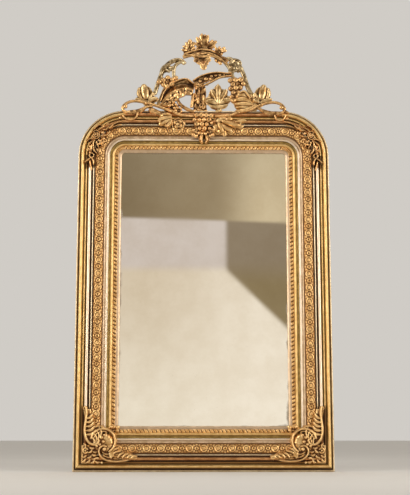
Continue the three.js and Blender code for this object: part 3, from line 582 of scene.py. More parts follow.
def rope_relief(s, u):
    """Height, and patina with painted shade, of the slanting strokes beside the sight edge."""
    a = (s + 0.5 * (u - ROPE_MIDDLE) + STROKE_LENGTH / 2) % STROKE_LENGTH - STROKE_LENGTH / 2
    b = u - ROPE_MIDDLE
    stroke = np.sqrt(np.clip(1 - (a / 6.2) ** 2 - (b / 6.4) ** 2, 0, 1))
    band = np.abs(b) < 5.9
    gap = bump_at(np.abs(a) - STROKE_LENGTH / 2, 2.2) * bump_at(b, 5.0)
    # Painted shade with patina: gaps between strokes darker, stroke tops a little lighter.
    return np.where(band, 2.8 * stroke - 1.3, 0), np.where(band, 0.5 - 0.12 * stroke + 0.5 * gap, np.nan)


def frieze_members():
    us = np.linspace(FRIEZE_START + GAP, FRIEZE_END, 37)
    bulge = 37 + 5 * np.sin(np.pi * (us - 60) / 41.5)
    front = np.where(us > 90, 0.5 * bulge + 0.5 * np.interp(us, [90, FRIEZE_END], [39.5, 34]), bulge)
    return [([(us[0], MOULDING_BACK)], "frieze", 0.8), (list(zip(us, front)), "frieze", 0.46),
            ([(us[-1], MOULDING_BACK)], "frieze", 0.8)]


def slip_members():
    hollow = [(98.3, 32), (99.6, 30.2), (101, 29), (103, 28.2), (105, 28), (106.5, 28.3), (108, 29)]
    cove = [(115.5, 27), (117, 25.4), (119, 24.5), (121.5, 24.2), (124, 24.5)]
    bead = round_member(125, 134, 25, 31.5, 10)
    rope = [(u, 25) for u in np.linspace(134.5, 146.5, 13)]
    sight = [(147.5, 22.4), (149, 22), (151.5, 18.4), (154.5, 15.6), (157, 14.6), (158, 13.8)]
    return [
        ([(98.3, MOULDING_BACK)], "groove", 0.8), (hollow, "rosy", [0.66, 0.5, 0.4, 0.36, 0.36, 0.38, 0.5]),
        (full_member(108.5, 115, 29.5, 31.8, 8), "burnished_highlight", 0.32),
        (cove, "olive", [0.8, 0.5, 0.4, 0.45, 0.7]), (bead, "satin", member_relief(bead, 25, 31.5)),
        (rope, "frieze", 0.42), (sight, "rosy", [0.6, 0.2, 0.2, 0.3, 0.4, 0.6]),
        ([(158, LIP_BACK), (136.3, LIP_BACK), (136.3, MOULDING_BACK)], "groove", 0.8),
    ]


def add_mouldings():
    frieze, slip = frieze_members(), slip_members()
    outer = {"side": outer_members("satin", "burnished_highlight"), "bend": outer_members("satin", "worn_and_shaded", "olive"),
             "top": outer_members("worn_and_shaded", "worn_and_shaded"), "bottom": outer_members("satin", "worn_and_shaded")}
    for side, mirror in (("left", False), ("right", True)):
        add_moulding(f"outer_run_{side}", outer["side"], along_left, 96, f"outer_moulding_{side}",
                     mirror=mirror, shade=corner_shade_and_dust)
        add_moulding(f"outer_bend_{side}", outer["bend"], along_shoulder, 40, f"outer_shoulder_{side}",
            mirror=mirror)
        add_moulding(f"frieze_run_{side}", frieze, along_left, 860, f"frieze_{side}", frieze_relief, mirror)
        add_moulding(f"slip_run_{side}", slip, along_left, 700, f"slip_{side}", rope_relief, mirror)
    add_moulding("outer_run_bottom", outer["bottom"], along_bottom, 80, "outer_moulding_bottom",
        shade=rail_painted_shade)
    add_moulding("outer_run_top", outer["top"], along_top, 56, "outer_moulding_top")
    for name, members, relief, counts in (("frieze", frieze, frieze_relief, (620, 700)),
            ("slip", slip, rope_relief, (460, 520))):
        for place, along, count in zip(("bottom", "top"), (along_bottom, along_arch), counts):
            add_moulding(f"{name}_run_{place}", members, along, count, f"{name}_{place}", relief)


# ---- Carving ----
def spline(points, t):
    """Points and unit directions of a smooth line through the points, at each t from 0 to 1."""
    p = np.array(points, float)
    last = len(p) - 1
    where = np.clip(t, 0, 1) * last
    i = np.minimum(where.astype(int), last - 1)
    w = (where - i)[:, None]
    p0, p1, p2, p3 = p[np.maximum(i - 1, 0)], p[i], p[i + 1], p[np.minimum(i + 2, last)]
    a, b = 2 * p1 - 2 * p2 + (p2 - p0) / 2 + (p3 - p1) / 2, -3 * p1 + 3 * p2 - (p2 - p0) - (p3 - p1) / 2
    c = (p2 - p0) / 2
    line = ((a * w + b) * w + c) * w + p1
    way = (3 * a * w + 2 * b) * w + c
    return line, way / np.maximum(np.linalg.norm(way, axis=1, keepdims=True), 1e-9)


def ribbon(points, half_width, front, back, steps=24, across=11):
    """A closed band along a line: half_width(t), and front(t, s) and back(t, s) for s from -1 to 1."""
    t = np.linspace(0, 1, steps + 1)
    s = np.linspace(-1, 1, across)[None, :]
    line, way = spline(points, t)
    tt = t[:, None]
    reach = s * (half_width(tt) + 0 * s)
    x, z = line[:, :1] - way[:, 1:] * reach, line[:, 1:] + way[:, :1] * reach
    top = np.stack([x, front(tt, s) + 0 * x, z], axis=2)
    under = np.stack([x, np.minimum(back(tt, s) + 0 * x, top[:, :, 1] - 1.0), z], axis=2)[:, ::-1]
    rings = np.concatenate([top, under], axis=1)
    return rings.reshape(-1, 3), strips(steps + 1, 2 * across) + end_caps(steps + 1, 2 * across)


def level(h):
    """A face of a ribbon that keeps one height."""
    return lambda t, s: h + 0 * s


def rod(points, radius, back, front, steps=None, channel=0.0, taper=0.0):
    """A strap that keeps its width, rounded across, with a channel down its middle if asked."""
    thick = front - back
    steps = steps or 6 * len(points)

    def height(t, s):
        return back + thick * (0.45 + 0.55 * np.sqrt(np.clip(1 - s * s, 0, 1))) - channel * bump_at(s, 0.35)

    return ribbon(points, lambda t: radius * (1 - taper * t) * np.sqrt(np.clip(1 - (2 * t - 1) ** 24, 0.05,
        1)), height, lambda t, s: back + 0.25 * thick * s * s, steps)


def leaf(points, width, back, front, lobes=0, veins=2.0, thin=9.0, cup=0.0, notch=0.15):
    """A carved leaf: a grooved midrib, slanting side veins, scalloped edges, and a tip free of the ground."""
    thick, fold = front - back, min(1.6, 0.05 * width)

    def half_width(t):
        swell = np.sin(np.pi * (0.1 + 0.85 * t)) ** 0.7
        scallop = 1 - notch * (1 + np.cos(2 * np.pi * lobes * t)) if lobes else 1.0
        close = np.sqrt(np.clip(1 - (np.clip(t - 0.86, 0, 1) / 0.14) ** 2, 0.004, 1))
        return 0.5 * width * swell * scallop * close

    def height(t, s):
        far = np.abs(s)
        flank = 0.45 + 0.55 * (1 - far ** 2.2) + cup * s * s
        groove = fold * bump_at(s, 0.13) * np.clip(1.15 - t, 0, 1)
        side = 0.3 * fold * np.cos(2 * np.pi * (veins * 2 * t - 1.1 * far)) * np.clip(far * 4, 0, 1)
        return back + thick * flank - groove + side * np.clip(1.4 - far, 0, 1)

    def under(t, s):
        return back + np.clip((t - 0.12) / 0.4, 0, 1) * np.clip(thick - thin, 0, 99) * (0.35 + 0.3 * s * s)

    return ribbon(points, half_width, height, under, 30, 15)


def oval(points, radius, back, front):
    """A smooth domed lobe along a line."""
    def height(t, s):
        dome = np.sqrt(np.clip(1 - s * s, 0, 1)) * np.clip(4 * t * (1 - t), 0, 1) ** 0.3
        return back + (front - back) * (0.5 + 0.5 * dome)

    return ribbon(points, lambda t: radius * np.sqrt(np.clip(1 - (2 * t - 1) ** 2, 0.03, 1)), height,
                  level(back), 30, 17)


def broad_leaf(x, z, tips, back, front, core=0.34, lift=2.0, teeth=0.03, vein=0.9, depth=0.42):
    """A leaf whose lobes spread from one point: each tip is x, z and the lobe's half width in degrees."""
    spokes, rings, thick = 132, 15, front - back
    turn = np.linspace(0, 2 * np.pi, spokes, endpoint=False)
    reach, off, spread = np.zeros(spokes), np.zeros(spokes), np.ones(spokes)
    for tip_x, tip_z, degrees in tips:
        away = (turn - math.atan2(tip_z - z, tip_x - x) + np.pi) % (2 * np.pi) - np.pi
        half = math.radians(degrees)
        fall = np.cos(np.pi / 2 * np.clip(np.abs(away) / (1.35 * half), 0, 1)) ** 0.5
        lobe = math.hypot(tip_x - x, tip_z - z) * fall
        nearer = lobe > reach
        reach, off = np.where(nearer, lobe, reach), np.where(nearer, away, off)
        spread = np.where(nearer, half, spread)
    reach = np.maximum(reach, core * reach.max()) * (1 - teeth * (0.5 + 0.5 * np.cos(turn * 31)))
    rho = (np.arange(1, rings + 1) / rings)[:, None] ** 0.9
    q, from_rib = off / spread, rho * reach * np.sin(np.abs(off))
    ridge = np.cos(np.pi / 2 * np.clip(np.abs(q) / 1.25, 0, 1)) ** 0.8
    pillow = 0.9 - depth + depth * ridge * np.clip(rho * 1.6, 0.5, 1) - 0.18 * rho ** 6
    groove = vein * bump_at(from_rib, 1.7) * np.clip(rho * 3, 0, 1) * np.clip(1.2 - rho, 0, 1)
    top = back + thick * pillow + lift * rho ** 2 - groove
    free = 0.7 * np.clip((rho - 0.25) / 0.4, 0, 1) * max(thick - 8.0, 0)
    under = np.minimum(back + lift * rho ** 2 + free, top - 1.2)
    px, pz = x + rho * reach * np.cos(turn), z + rho * reach * np.sin(turn)
    layers = [np.stack([px, h + 0 * px, pz], axis=2).reshape(-1, 3) for h in (top, under)]
    n, last = spokes * rings, (rings - 1) * spokes
    verts = np.vstack([*layers, [[x, back + 0.8 * thick, z], [x, back, z]]])
    faces = strips(rings, spokes) + strips(rings, spokes, n)
    for j in range(spokes):
        k = (j + 1) % spokes
        faces += [[2 * n, k, j], [2 * n + 1, n + j, n + k], [last + j, last + k, n + last + k, n + last + j]]
    return verts, faces


def ball(x, z, radius, h):
    """A round berry with its calyx dimple towards the front."""
    rows, around = 10, 16
    lat = np.linspace(0, np.pi, rows + 2)[1:-1, None]
    lon = np.linspace(0, 2 * np.pi, around, endpoint=False)[None, :]
    r = radius * (1 - 0.10 * bump_at(lat, 0.35))
    px, pz = x + r * np.sin(lat) * np.cos(lon), z + r * np.sin(lat) * np.sin(lon)
    rings = np.stack([px, h + r * np.cos(lat) + 0 * lon, pz], axis=2).reshape(-1, 3)
    n, last = rows * around, (rows - 1) * around
    faces = strips(rows, around)
    for j in range(around):
        k = (j + 1) % around
        faces += [[n, k, j], [n + 1, last + j, last + k]]
    return np.vstack([rings, [[x, h + 0.88 * radius, z], [x, h - radius, z]]]), faces


def balls(places, h):
    return [ball(x, z, radius, h) for x, z, radius in places]


def bunch(points, radius, h, uneven=0.12):
    return [ball(x, z, radius * (1 + uneven * math.sin(7.3 * i)), h + 2 * (i % 2)) for i,
        (x, z) in enumerate(points)]


def arc(x, z, radius, start, end, count=12):
    """Points on a circle from one angle to another, in degrees."""
    return [(x + radius * math.cos(a), z + radius * math.sin(a))
        for a in np.radians(np.linspace(start, end, count))]


def petal_ring(x, z, reach, width, back, front, count, turn, cup):
    """Petals round a centre, each cupped so that its rim stands proud."""
    parts = []
    for a in turn + 2 * math.pi * np.arange(count) / count:
        line = [(x + k * reach * math.cos(a), z + k * reach * math.sin(a)) for k in (0.12, 0.55, 1.0)]
        parts.append(leaf(line, width, back, front, veins=0.5, thin=8, cup=cup))
    return parts


def rose(x, z):
    """A full rose: rings of rolled petals that open towards the front."""
    h = 46
    parts = [*petal_ring(x, z, 28, 29, 28, h, 5, 0.3, 0.12),
        *petal_ring(x, z, 18, 22, 32, h + 6, 4, 0.95, 0.15)]
    parts += [rod(arc(x, z, 21, a, a + 62, 6), 2.2, 34, h + 3) for a in range(10, 360, 72)]
    parts += [rod(arc(x, z, r, a, a + 150, 8), 2.2, 38, h + 9) for r, a in ((11, 20), (11, 200), (5.5, 110))]
    return [*parts, ball(x, z, 3.4, h + 6)]


def volute(x, z, start, end, turns):
    """Points that curl round a centre, from radius start to radius end."""
    ways = [(start + (end - start) * k, 2 * math.pi * turns * k) for k in np.linspace(0, 1, 10)]
    return [(x + r * math.cos(a), z + r * math.sin(a)) for r, a in ways]


def mirrored(parts):
    return [(np.asarray(v) * [-1, 1, 1], f) for v, f in parts]


SOFTENING_ROUNDS = 3


def carve(name, parts, node, kind, grain):
    """Fuses overlapping forms into one carved surface, softens it and marks its relief."""
    faces, offset = [], 0
    for v, f in parts:
        faces += [[k + offset for k in face] for face in f]
        offset += len(v)
    verts = np.vstack([v for v, _ in parts])
    piece = add_piece(name, verts, faces, [GOLD[kind]], [node], angle=None)
    fuse = piece.modifiers.new("fuse", "REMESH")
    fuse.mode, fuse.voxel_size, fuse.use_smooth_shade = "VOXEL", grain / 1000.0, True
    graph = bpy.context.evaluated_depsgraph_get()
    fused = bpy.data.meshes.new_from_object(piece.evaluated_get(graph))
    piece.modifiers.clear()
    old = piece.data
    piece.data = fused
    bpy.data.meshes.remove(old)
    fused.name = name
    edges, counts = edge_array(fused)
    co = vertex_array(fused)
    for _ in range(SOFTENING_ROUNDS):
        co = 0.5 * co + 0.5 * neighbour_mean(co, edges, counts)
    fused.vertices.foreach_set("co", co.astype(np.float32).ravel())
    fused.update()
    fused.shade_smooth()
    mark_relief(fused)


REAR_BACK, REAR_FRONT = 9.6, 22.0
MID_BACK = 22.4
FRAME_BACK, FRAME_FRONT = 28.0, 56.0
TWIG_BACK, TWIG_FRONT = 40.0, 51.0


def rear(points, radius):
    return rod(points, radius, REAR_BACK, REAR_FRONT, channel=0.5)


def front(points, width, **options):
    return leaf(points, width, FRAME_BACK, FRAME_FRONT, **options)


def twig(points, radius):
    return rod(points, radius, TWIG_BACK, TWIG_FRONT)


def trunk_parts():
    def bark(t, s):
        return 18.6 + 5 * (1 - s * s) + 1.2 * np.cos(9 * s + 5 * t)

    line = [(-13, 1311), (-15, 1350), (-12, 1390), (-18, 1424)]
    stem = ribbon(line, lambda t: 26 - 8 * t, bark, level(REAR_BACK))
    parts = [stem, leaf([(-20, 1338), (-22, 1366), (-16, 1392)], 19, 16, 30, veins=3),
             leaf([(-2, 1318), (2, 1346), (-2, 1374)], 20, 16, 29, veins=3)]
    for i in range(5):
        z = 1316 + 21 * i
        side = 1 if i % 2 else -1
        parts.append(leaf([(-14 + 3 * side, z), (-14 + 12 * side, z + 10), (-14 + 19 * side, z + 22)], 19,
            16, 27, lobes=1, veins=2))
    knobs = [(-13, 1409, 8), (-29, 1398, 5.5), (0, 1392, 6), (-33, 1376, 5), (-34, 1352, 5), (-30, 1330, 6),
             (6, 1332, 5), (-8, 1326, 6), (8, 1312, 5.5), (-20, 1316, 6)]
    return parts + balls(knobs, 22)


def arch_left_parts():
    return [
        rear([(-184, 1374), (-176, 1402), (-164, 1440), (-152, 1470), (-134, 1495), (-108, 1510), (-84, 1509),
              (-70, 1495)], 8.6),
        rear([(-111, 1430), (-112, 1460), (-110, 1482), (-98, 1498), (-82, 1506)], 6.8),
        rear([(-154, 1468), (-135, 1475), (-110, 1480)], 10),
        rear([(-172, 1336), (-158, 1368), (-146, 1398), (-130, 1424), (-110, 1438)], 6.5),
        leaf([(-160, 1452), (-148, 1478), (-124, 1498)], 22, 12, 27, veins=1),
        leaf([(-152, 1472), (-138, 1470), (-126, 1462)], 14, 12, 26, veins=1), ball(-71, 1500, 6.5, 17),
    ]


def arch_right_parts():
    return [
        rear([(72, 1510), (94, 1517), (114, 1507), (134, 1486), (148, 1458), (157, 1428), (167, 1400),
            (182, 1372), (198, 1340)], 8.8),
        rear([(64, 1518), (84, 1498), (100, 1474), (108, 1450), (116, 1424), (124, 1396), (140, 1366),
            (170, 1360)], 7.2),
        rear([(100, 1502), (120, 1490), (140, 1470)], 15),
        broad_leaf(118, 1494, [(140, 1500, 40), (142, 1472, 34), (104, 1476, 36), (104, 1508, 40)], 12, 26,
            core=0.75, teeth=0),
        leaf([(112, 1478), (118, 1470), (130, 1474)], 11, 12, 24, veins=1),
        leaf([(94, 1462), (104, 1470), (114, 1462)], 20, 12, 24, veins=1),
    ]


def top_leaf_parts():
    """The spray at the very top: three leaf fans on a double stem, with two leaves that hang from it."""
    def rolled(t, s):
        return MID_BACK + 13 + 2 * bump_at(np.abs(s) - 0.55, 0.4)

    line = [(-78, 1517), (-45, 1531), (-8, 1538), (30, 1533), (60, 1516), (84, 1496)]
    stem = ribbon(line, lambda t: 5 + 8 * np.sin(np.pi * t), rolled, level(MID_BACK))
    return [
        stem, rod([(-76, 1526), (-45, 1538), (-8, 1546), (22, 1543), (44, 1532)], 4.2, 27, 41),
        rod([(-74, 1524), (-50, 1524), (-26, 1524), (0, 1530), (22, 1532), (46, 1522), (66, 1508),
            (86, 1490)], 4.4, 26, 39),
        broad_leaf(-54, 1540, [(-84, 1546, 17), (-79, 1561, 16), (-68, 1575, 16), (-51, 1587, 19),
            (-35, 1576, 17), (-32, 1556, 20)], MID_BACK, 40, core=0.5),
        broad_leaf(2, 1546, [(-34, 1572, 15), (-28, 1595, 14), (-9, 1609, 15), (5, 1606, 13),
            (16, 1604, 13), (36, 1584, 13), (50, 1580, 12), (44, 1562, 15), (-30, 1552, 18)], MID_BACK, 40,
            core=0.45, lift=3),
        broad_leaf(56, 1536, [(42, 1556, 22), (59, 1560, 20), (80, 1556, 20), (86, 1544, 18),
            (70, 1526, 24)], MID_BACK, 39, core=0.55),
        broad_leaf(-6, 1514, [(-38, 1500, 22), (-40, 1524, 26), (-22, 1488, 20), (1, 1465, 24),
            (16, 1486, 18), (27, 1502, 22), (24, 1522, 26)], MID_BACK, 40, core=0.62, lift=3, depth=0.26),
        leaf([(-40, 1521), (-12, 1518), (22, 1520)], 15, 26, 41, veins=0.5),
        broad_leaf(54, 1510, [(42, 1504, 26), (65, 1487, 26), (70, 1506, 24), (50, 1528, 30)], MID_BACK, 38,
            core=0.6),
        leaf([(62, 1516), (76, 1512), (92, 1502)], 18, MID_BACK, 37),
    ]


def shell_parts():
    """A shell turned to the left: thin rim, smooth hollow, and rows of ruffles beneath."""
    def hollow(t, s):
        k = (1 - s) / 2
        dish = 37 - 9 * np.sin(np.pi * np.clip(k * 2.0, 0, 1)) ** 1.3
        ruffle = 1.3 * np.cos(2 * np.pi * 4.5 * t + 3 * k) + 0.4 * np.cos(2 * np.pi * 9 * t)
        rows = 3.4 * bump_at(k - 0.58, 0.1) + 3.0 * bump_at(k - 0.85, 0.13)
        return dish + ruffle * np.clip((k - 0.46) / 0.1, 0, 1) + rows * np.clip(t * 5, 0.3, 1)

    fan = ribbon([(-146, 1345), (-126, 1374), (-98, 1392), (-68, 1399), (-38, 1390)],
                 lambda t: 21 + 13 * np.sin(np.pi * t), hollow, level(MID_BACK), 70, 33)
    rim = rod([(-160, 1344), (-146, 1382), (-118, 1413), (-90, 1427), (-62, 1430), (-38, 1412)], 3.6, 29,
        41.5)
    seeds = [(-118, 1354), (-133, 1350), (-112, 1342), (-126, 1340), (-116, 1330), (-104, 1332), (-140, 1338),
             (-103, 1350), (-128, 1328), (-108, 1318)]
    return [
        fan, rim, leaf([(-156, 1334), (-134, 1362), (-104, 1388)], 22, 24, 41, veins=1),
        rod([(-102, 1366), (-90, 1338), (-66, 1319), (-34, 1304)], 6.6, MID_BACK, 38, channel=1.0),
        rod([(-40, 1378), (-42, 1350), (-46, 1322)], 6, MID_BACK, 34),
        rod([(-140, 1352), (-122, 1336), (-98, 1316)], 14, MID_BACK, 31),
        leaf([(-166, 1330), (-142, 1332), (-118, 1330)], 20, 24, 39),
        leaf([(-146, 1316), (-126, 1310), (-104, 1304)], 20, 24, 38),
        broad_leaf(-92, 1308, [(-108, 1308, 34), (-98, 1323, 34), (-82, 1320, 34), (-78, 1304, 34),
            (-88, 1293, 34), (-102, 1296, 34)], 24, 43, core=0.7, teeth=0),
        *bunch(seeds, 5.8, 34),
    ]


def horn_parts():
    """A curved horn that opens to the right, its mouth edged by a lip and filled with beads."""
    def hollow(t, s):
        return MID_BACK + 8 + 3 * s * s + 0.8 * np.cos(16 * t + 3 * s)

    cone = ribbon([(-34, 1414), (-8, 1428), (26, 1440), (64, 1447), (104, 1450)], lambda t: 17 - 10 * t,
                  hollow, level(MID_BACK), 40, 15)
    beads = [(8, 1433, 9), (12, 1413, 6), (-14, 1424, 7), (28, 1444, 6.5), (44, 1447, 6), (-2, 1442, 5.5),
             (27, 1430, 5), (60, 1449, 5), (76, 1448, 5), (-28, 1412, 6), (90, 1450, 4.5)]
    return [
        cone, rod([(-42, 1424), (-16, 1441), (16, 1453), (50, 1458), (84, 1455), (104, 1456)], 3.2, 26, 38),
        rod([(-6, 1404), (16, 1414), (38, 1426), (56, 1436), (80, 1442), (104, 1445)], 3.6, 27, 41),
        *balls(beads, 28),
    ]


def vine_leaf_parts():
    tips = [(8, 1344, 28), (101, 1350, 28), (26, 1389, 27), (86, 1390, 27), (52, 1410, 28)]
    return [
        broad_leaf(52, 1362, [(52, 1409, 28), (28, 1386, 24), (7, 1338, 36), (84, 1388, 28),
            (100, 1346, 34), (26, 1320, 34), (80, 1318, 36)], MID_BACK, 38, core=0.7, lift=3, depth=0.3),
        leaf([(26, 1326), (52, 1323), (90, 1332)], 20, 27, 42),
        leaf([(62, 1320), (56, 1312), (44, 1303)], 22, MID_BACK, 38),
        *[leaf([(54, 1334), (0.5 * x + 28, 0.45 * z + 741), (x, z)], w, 29, 43 + i, veins=0.4) for i,
            (x, z, w) in enumerate(tips)],
    ]


def leaf_right_parts():
    blades = [([(176, 1336), (152, 1371), (118, 1368)], 27, 38),
        ([(180, 1334), (150, 1354), (108, 1349)], 26, 41),
        ([(182, 1332), (150, 1336), (112, 1334)], 24, 43),
        ([(184, 1326), (150, 1311), (116, 1309)], 22, 41)]
    return [
        broad_leaf(176, 1340, [(128, 1378, 24), (112, 1362, 22), (106, 1344, 22), (112, 1328, 22),
            (196, 1352, 40), (160, 1374, 26)], MID_BACK, 34, core=0.5, depth=0.2),
        *[leaf(line, width, 24, top, veins=0.5) for line, width, top in blades],
        leaf([(172, 1358), (152, 1383), (128, 1377)], 12, 26, 42, veins=0.5),
        leaf([(196, 1330), (156, 1324), (116, 1322)], 22, MID_BACK, 40, veins=0.5),
    ]


GRAPES_LEFT = [(-150, 1410), (-166, 1420), (-150, 1427), (-134, 1436), (-134, 1420), (-118, 1429),
    (-104, 1436), (-120, 1412), (-136, 1403)]
GRAPES_RIGHT = [(99, 1427), (118, 1427), (137, 1429), (108, 1411), (127, 1412), (146, 1414), (100, 1395),
    (119, 1397), (134, 1400), (110, 1379), (126, 1383), (104, 1363), (118, 1365), (110, 1349)]
GRAPES_DROP = [(-26, 1286), (-9, 1286), (9, 1286), (26, 1284), (-34, 1269), (-17, 1269), (0, 1269),
    (18, 1268), (-26, 1252), (-8, 1252), (10, 1252), (-16, 1236), (2, 1236)]


def drop_parts():
    return [
        broad_leaf(-28, 1224, [(-44, 1234, 34), (-44, 1208, 30), (-28, 1200, 30), (-14, 1218, 34),
            (-24, 1244, 34)], FRAME_BACK, 57, core=0.7, depth=0.28),
        broad_leaf(24, 1224, [(40, 1236, 34), (38, 1208, 30), (22, 1202, 30), (10, 1220, 34),
            (20, 1244, 34)], FRAME_BACK, 57, core=0.7, depth=0.28),
        front([(-2, 1222), (-10, 1202), (-5, 1181)], 19, veins=0.5),
        front([(4, 1222), (12, 1202), (7, 1181)], 19, veins=0.5), rod([(-2, 1290), (0, 1225)], 15, 28, 50),
        *bunch(GRAPES_DROP, 9.6, 52, 0.2), *bunch([(-8, 1216), (6, 1215), (-30, 1256), (28, 1256)], 6, 54),
    ]


def side_leaf_parts(side):
    """A rounded lobe that stands up, a lower lobe that curls towards the crest, and a small outer wing."""
    reach = 168 if side < 0 else 184
    parts = [
        broad_leaf(218, 1374, [(208, 1402, 30), (224, 1408, 28), (241, 1397, 28), (244, 1375, 30),
            (207, 1342, 30), (229, 1353, 26)], 26, 37, core=0.85, teeth=0, lift=2, depth=0.15),
        broad_leaf(204, 1345, [(188, 1380, 24), (reach, 1354, 24), (200, 1333, 40)], 26, 37, core=0.6,
            teeth=0, depth=0.2),
        oval([(213, 1350), (218, 1380), (224, 1410)], 15, 28, 46),
        oval([(231, 1352), (241, 1372), (239, 1398)], 8, 28, 42),
        leaf([(206, 1340), (190, 1352), (reach + 3, 1355)], 22, 28, 43, veins=0.5),
        leaf([(204, 1348), (197, 1362), (188, 1379)], 15, 28, 42, veins=0.5),
        leaf([(210, 1340), (231, 1350), (254, 1354)], 22, 26, 41),
    ]
    return mirrored(parts) if side < 0 else parts


def twig_left_parts():
    return [
        twig([(-34, 1284), (-85, 1289), (-130, 1307), (-190, 1329), (-250, 1342), (-282, 1335),
            (-299, 1318), (-293, 1303), (-268, 1297), (-240, 1304), (-214, 1318), (-188, 1322)], 5.5),
        leaf([(-284, 1300), (-246, 1301), (-212, 1318)], 19, TWIG_BACK, TWIG_FRONT),
        twig([(-300, 1288), (-287, 1274), (-267, 1271), (-249, 1281), (-243, 1302)], 4.5),
        leaf([(-204, 1310), (-178, 1302), (-148, 1283)], 25, 36, 51, lobes=2, notch=0.1),
        ball(-289, 1321, 8, 45), ball(-120, 1303, 6, 47), ball(-212, 1334, 5.5, 47),
    ]


def twig_right_parts():
    return [
        twig([(38, 1284), (95, 1288), (130, 1301), (170, 1309), (208, 1328), (250, 1339), (281, 1334),
              (298, 1316), (290, 1300), (264, 1294), (236, 1299), (212, 1310), (196, 1320)], 5.5),
        leaf([(286, 1299), (244, 1297), (204, 1313)], 19, TWIG_BACK, TWIG_FRONT),
        twig([(261, 1290), (268, 1275), (282, 1270), (296, 1277), (301, 1292)], 4.5),
        leaf([(296, 1304), (304, 1302), (315, 1298)], 13, 40, 50), ball(287, 1319, 8, 45),
        ball(128, 1300, 6, 47), ball(214, 1330, 5.5, 47),
    ]


def low_leaf_left_parts():
    return [
        broad_leaf(-142, 1270, [(-126, 1293, 34), (-150, 1292, 32), (-170, 1268, 30), (-164, 1248, 30),
            (-132, 1242, 32), (-116, 1266, 38)], FRAME_BACK, 55, core=0.8, depth=0.2),
        *[leaf([(-118, z0), ((x - 118) / 2, (z + z0) / 2 + 2), (x, z)], width, 34, top, veins=0.5) for z0,
            x, z, width, top in ((1286, -154, 1290, 20, 55), (1278, -169, 1270, 24, 57),
            (1270, -160, 1250, 22, 58), (1266, -134, 1242, 20, 57))],
    ]


def low_leaf_right_parts():
    return [
        broad_leaf(70, 1258, [(46, 1244, 26), (59, 1220, 22), (77, 1207, 18), (106, 1222, 15),
            (148, 1244, 11), (142, 1262, 14), (104, 1280, 22)], FRAME_BACK, 54, core=0.5, lift=2,
            teeth=0.04, vein=0.5, depth=0.3),
        oval([(46, 1262), (62, 1272), (88, 1274)], 10, 36, 55),
        oval([(54, 1262), (60, 1244), (72, 1222)], 10, 36, 58),
        oval([(64, 1266), (92, 1258), (134, 1247)], 10, 36, 58),
        oval([(62, 1256), (80, 1240), (104, 1227)], 9, 36, 57),
        front([(116, 1262), (138, 1268), (157, 1266)], 22),
    ]


def shoulder_parts():
    """A rosebud with leaves to both sides, berries, and a tail that runs down on to the bead."""
    bud = [rod([(-395 + r * math.cos(a), 1213 + 1.25 * r * math.sin(a))
        for a in np.linspace(2.6 - turn, -3.2 - turn, 12)], 2.7, 34, 50 + lift) for r, turn,
        lift in ((12.5, 0.0, 0), (7, 1.2, 3), (2.6, 2.6, 5))]
    strokes = [
        ([(-404, 1196), (-416, 1196), (-427, 1188)], 10), ([(-402, 1188), (-412, 1184), (-422, 1174)], 10),
        ([(-398, 1192), (-404, 1180), (-403, 1164)], 11), ([(-394, 1188), (-390, 1176), (-384, 1162)], 11),
        ([(-404, 1164), (-400, 1152), (-391, 1140)], 12), ([(-386, 1194), (-378, 1180), (-368, 1166)], 11),
        ([(-386, 1228), (-378, 1236), (-366, 1240)], 11), ([(-370, 1230), (-358, 1232), (-349, 1244)], 14),
        ([(-356, 1236), (-343, 1240), (-331, 1252)], 12), ([(-402, 1232), (-392, 1244), (-378, 1250)], 11),
        ([(-408, 1152), (-418, 1154), (-426, 1162)], 10), ([(-412, 1124), (-422, 1118), (-434, 1106)], 11),
        ([(-410, 1124), (-403, 1112), (-403, 1098)], 11), ([(-382, 1206), (-368, 1206), (-354, 1212)], 11),
    ]
    return [
        broad_leaf(-390, 1180, [(-424, 1190, 26), (-420, 1168, 22), (-402, 1142, 24), (-384, 1144, 24),
            (-366, 1166, 26), (-366, 1194, 40), (-396, 1206, 50)], FRAME_BACK, 46, core=0.5),
        broad_leaf(-364, 1232, [(-332, 1254, 26), (-350, 1256, 24), (-376, 1250, 34), (-344, 1222, 34),
            (-380, 1222, 50)], FRAME_BACK, 46, core=0.5),
        rod([(-344, 1244), (-322, 1258), (-296, 1266)], 3.0, 34, 50),
        rod([(-340, 1238), (-322, 1248), (-302, 1253)], 2.4, 34, 48),
        rod([(-406, 1190), (-412, 1150), (-416, 1116), (-409, 1080)], 7, FRAME_BACK, 48, taper=0.4),
        ball(-395, 1213, 14, 38), *bud, *[front(line, width, veins=0.5) for line, width in strokes],
        rod(volute(-410, 1134, 8, 7.5, 0.97), 3.2, 34, 53),
        *bunch([(-371, 1219), (-366, 1195), (-377, 1187), (-371, 1178), (-382, 1176)], 4.6, 54),
        ball(-308, 1276, 5, 48),
    ]


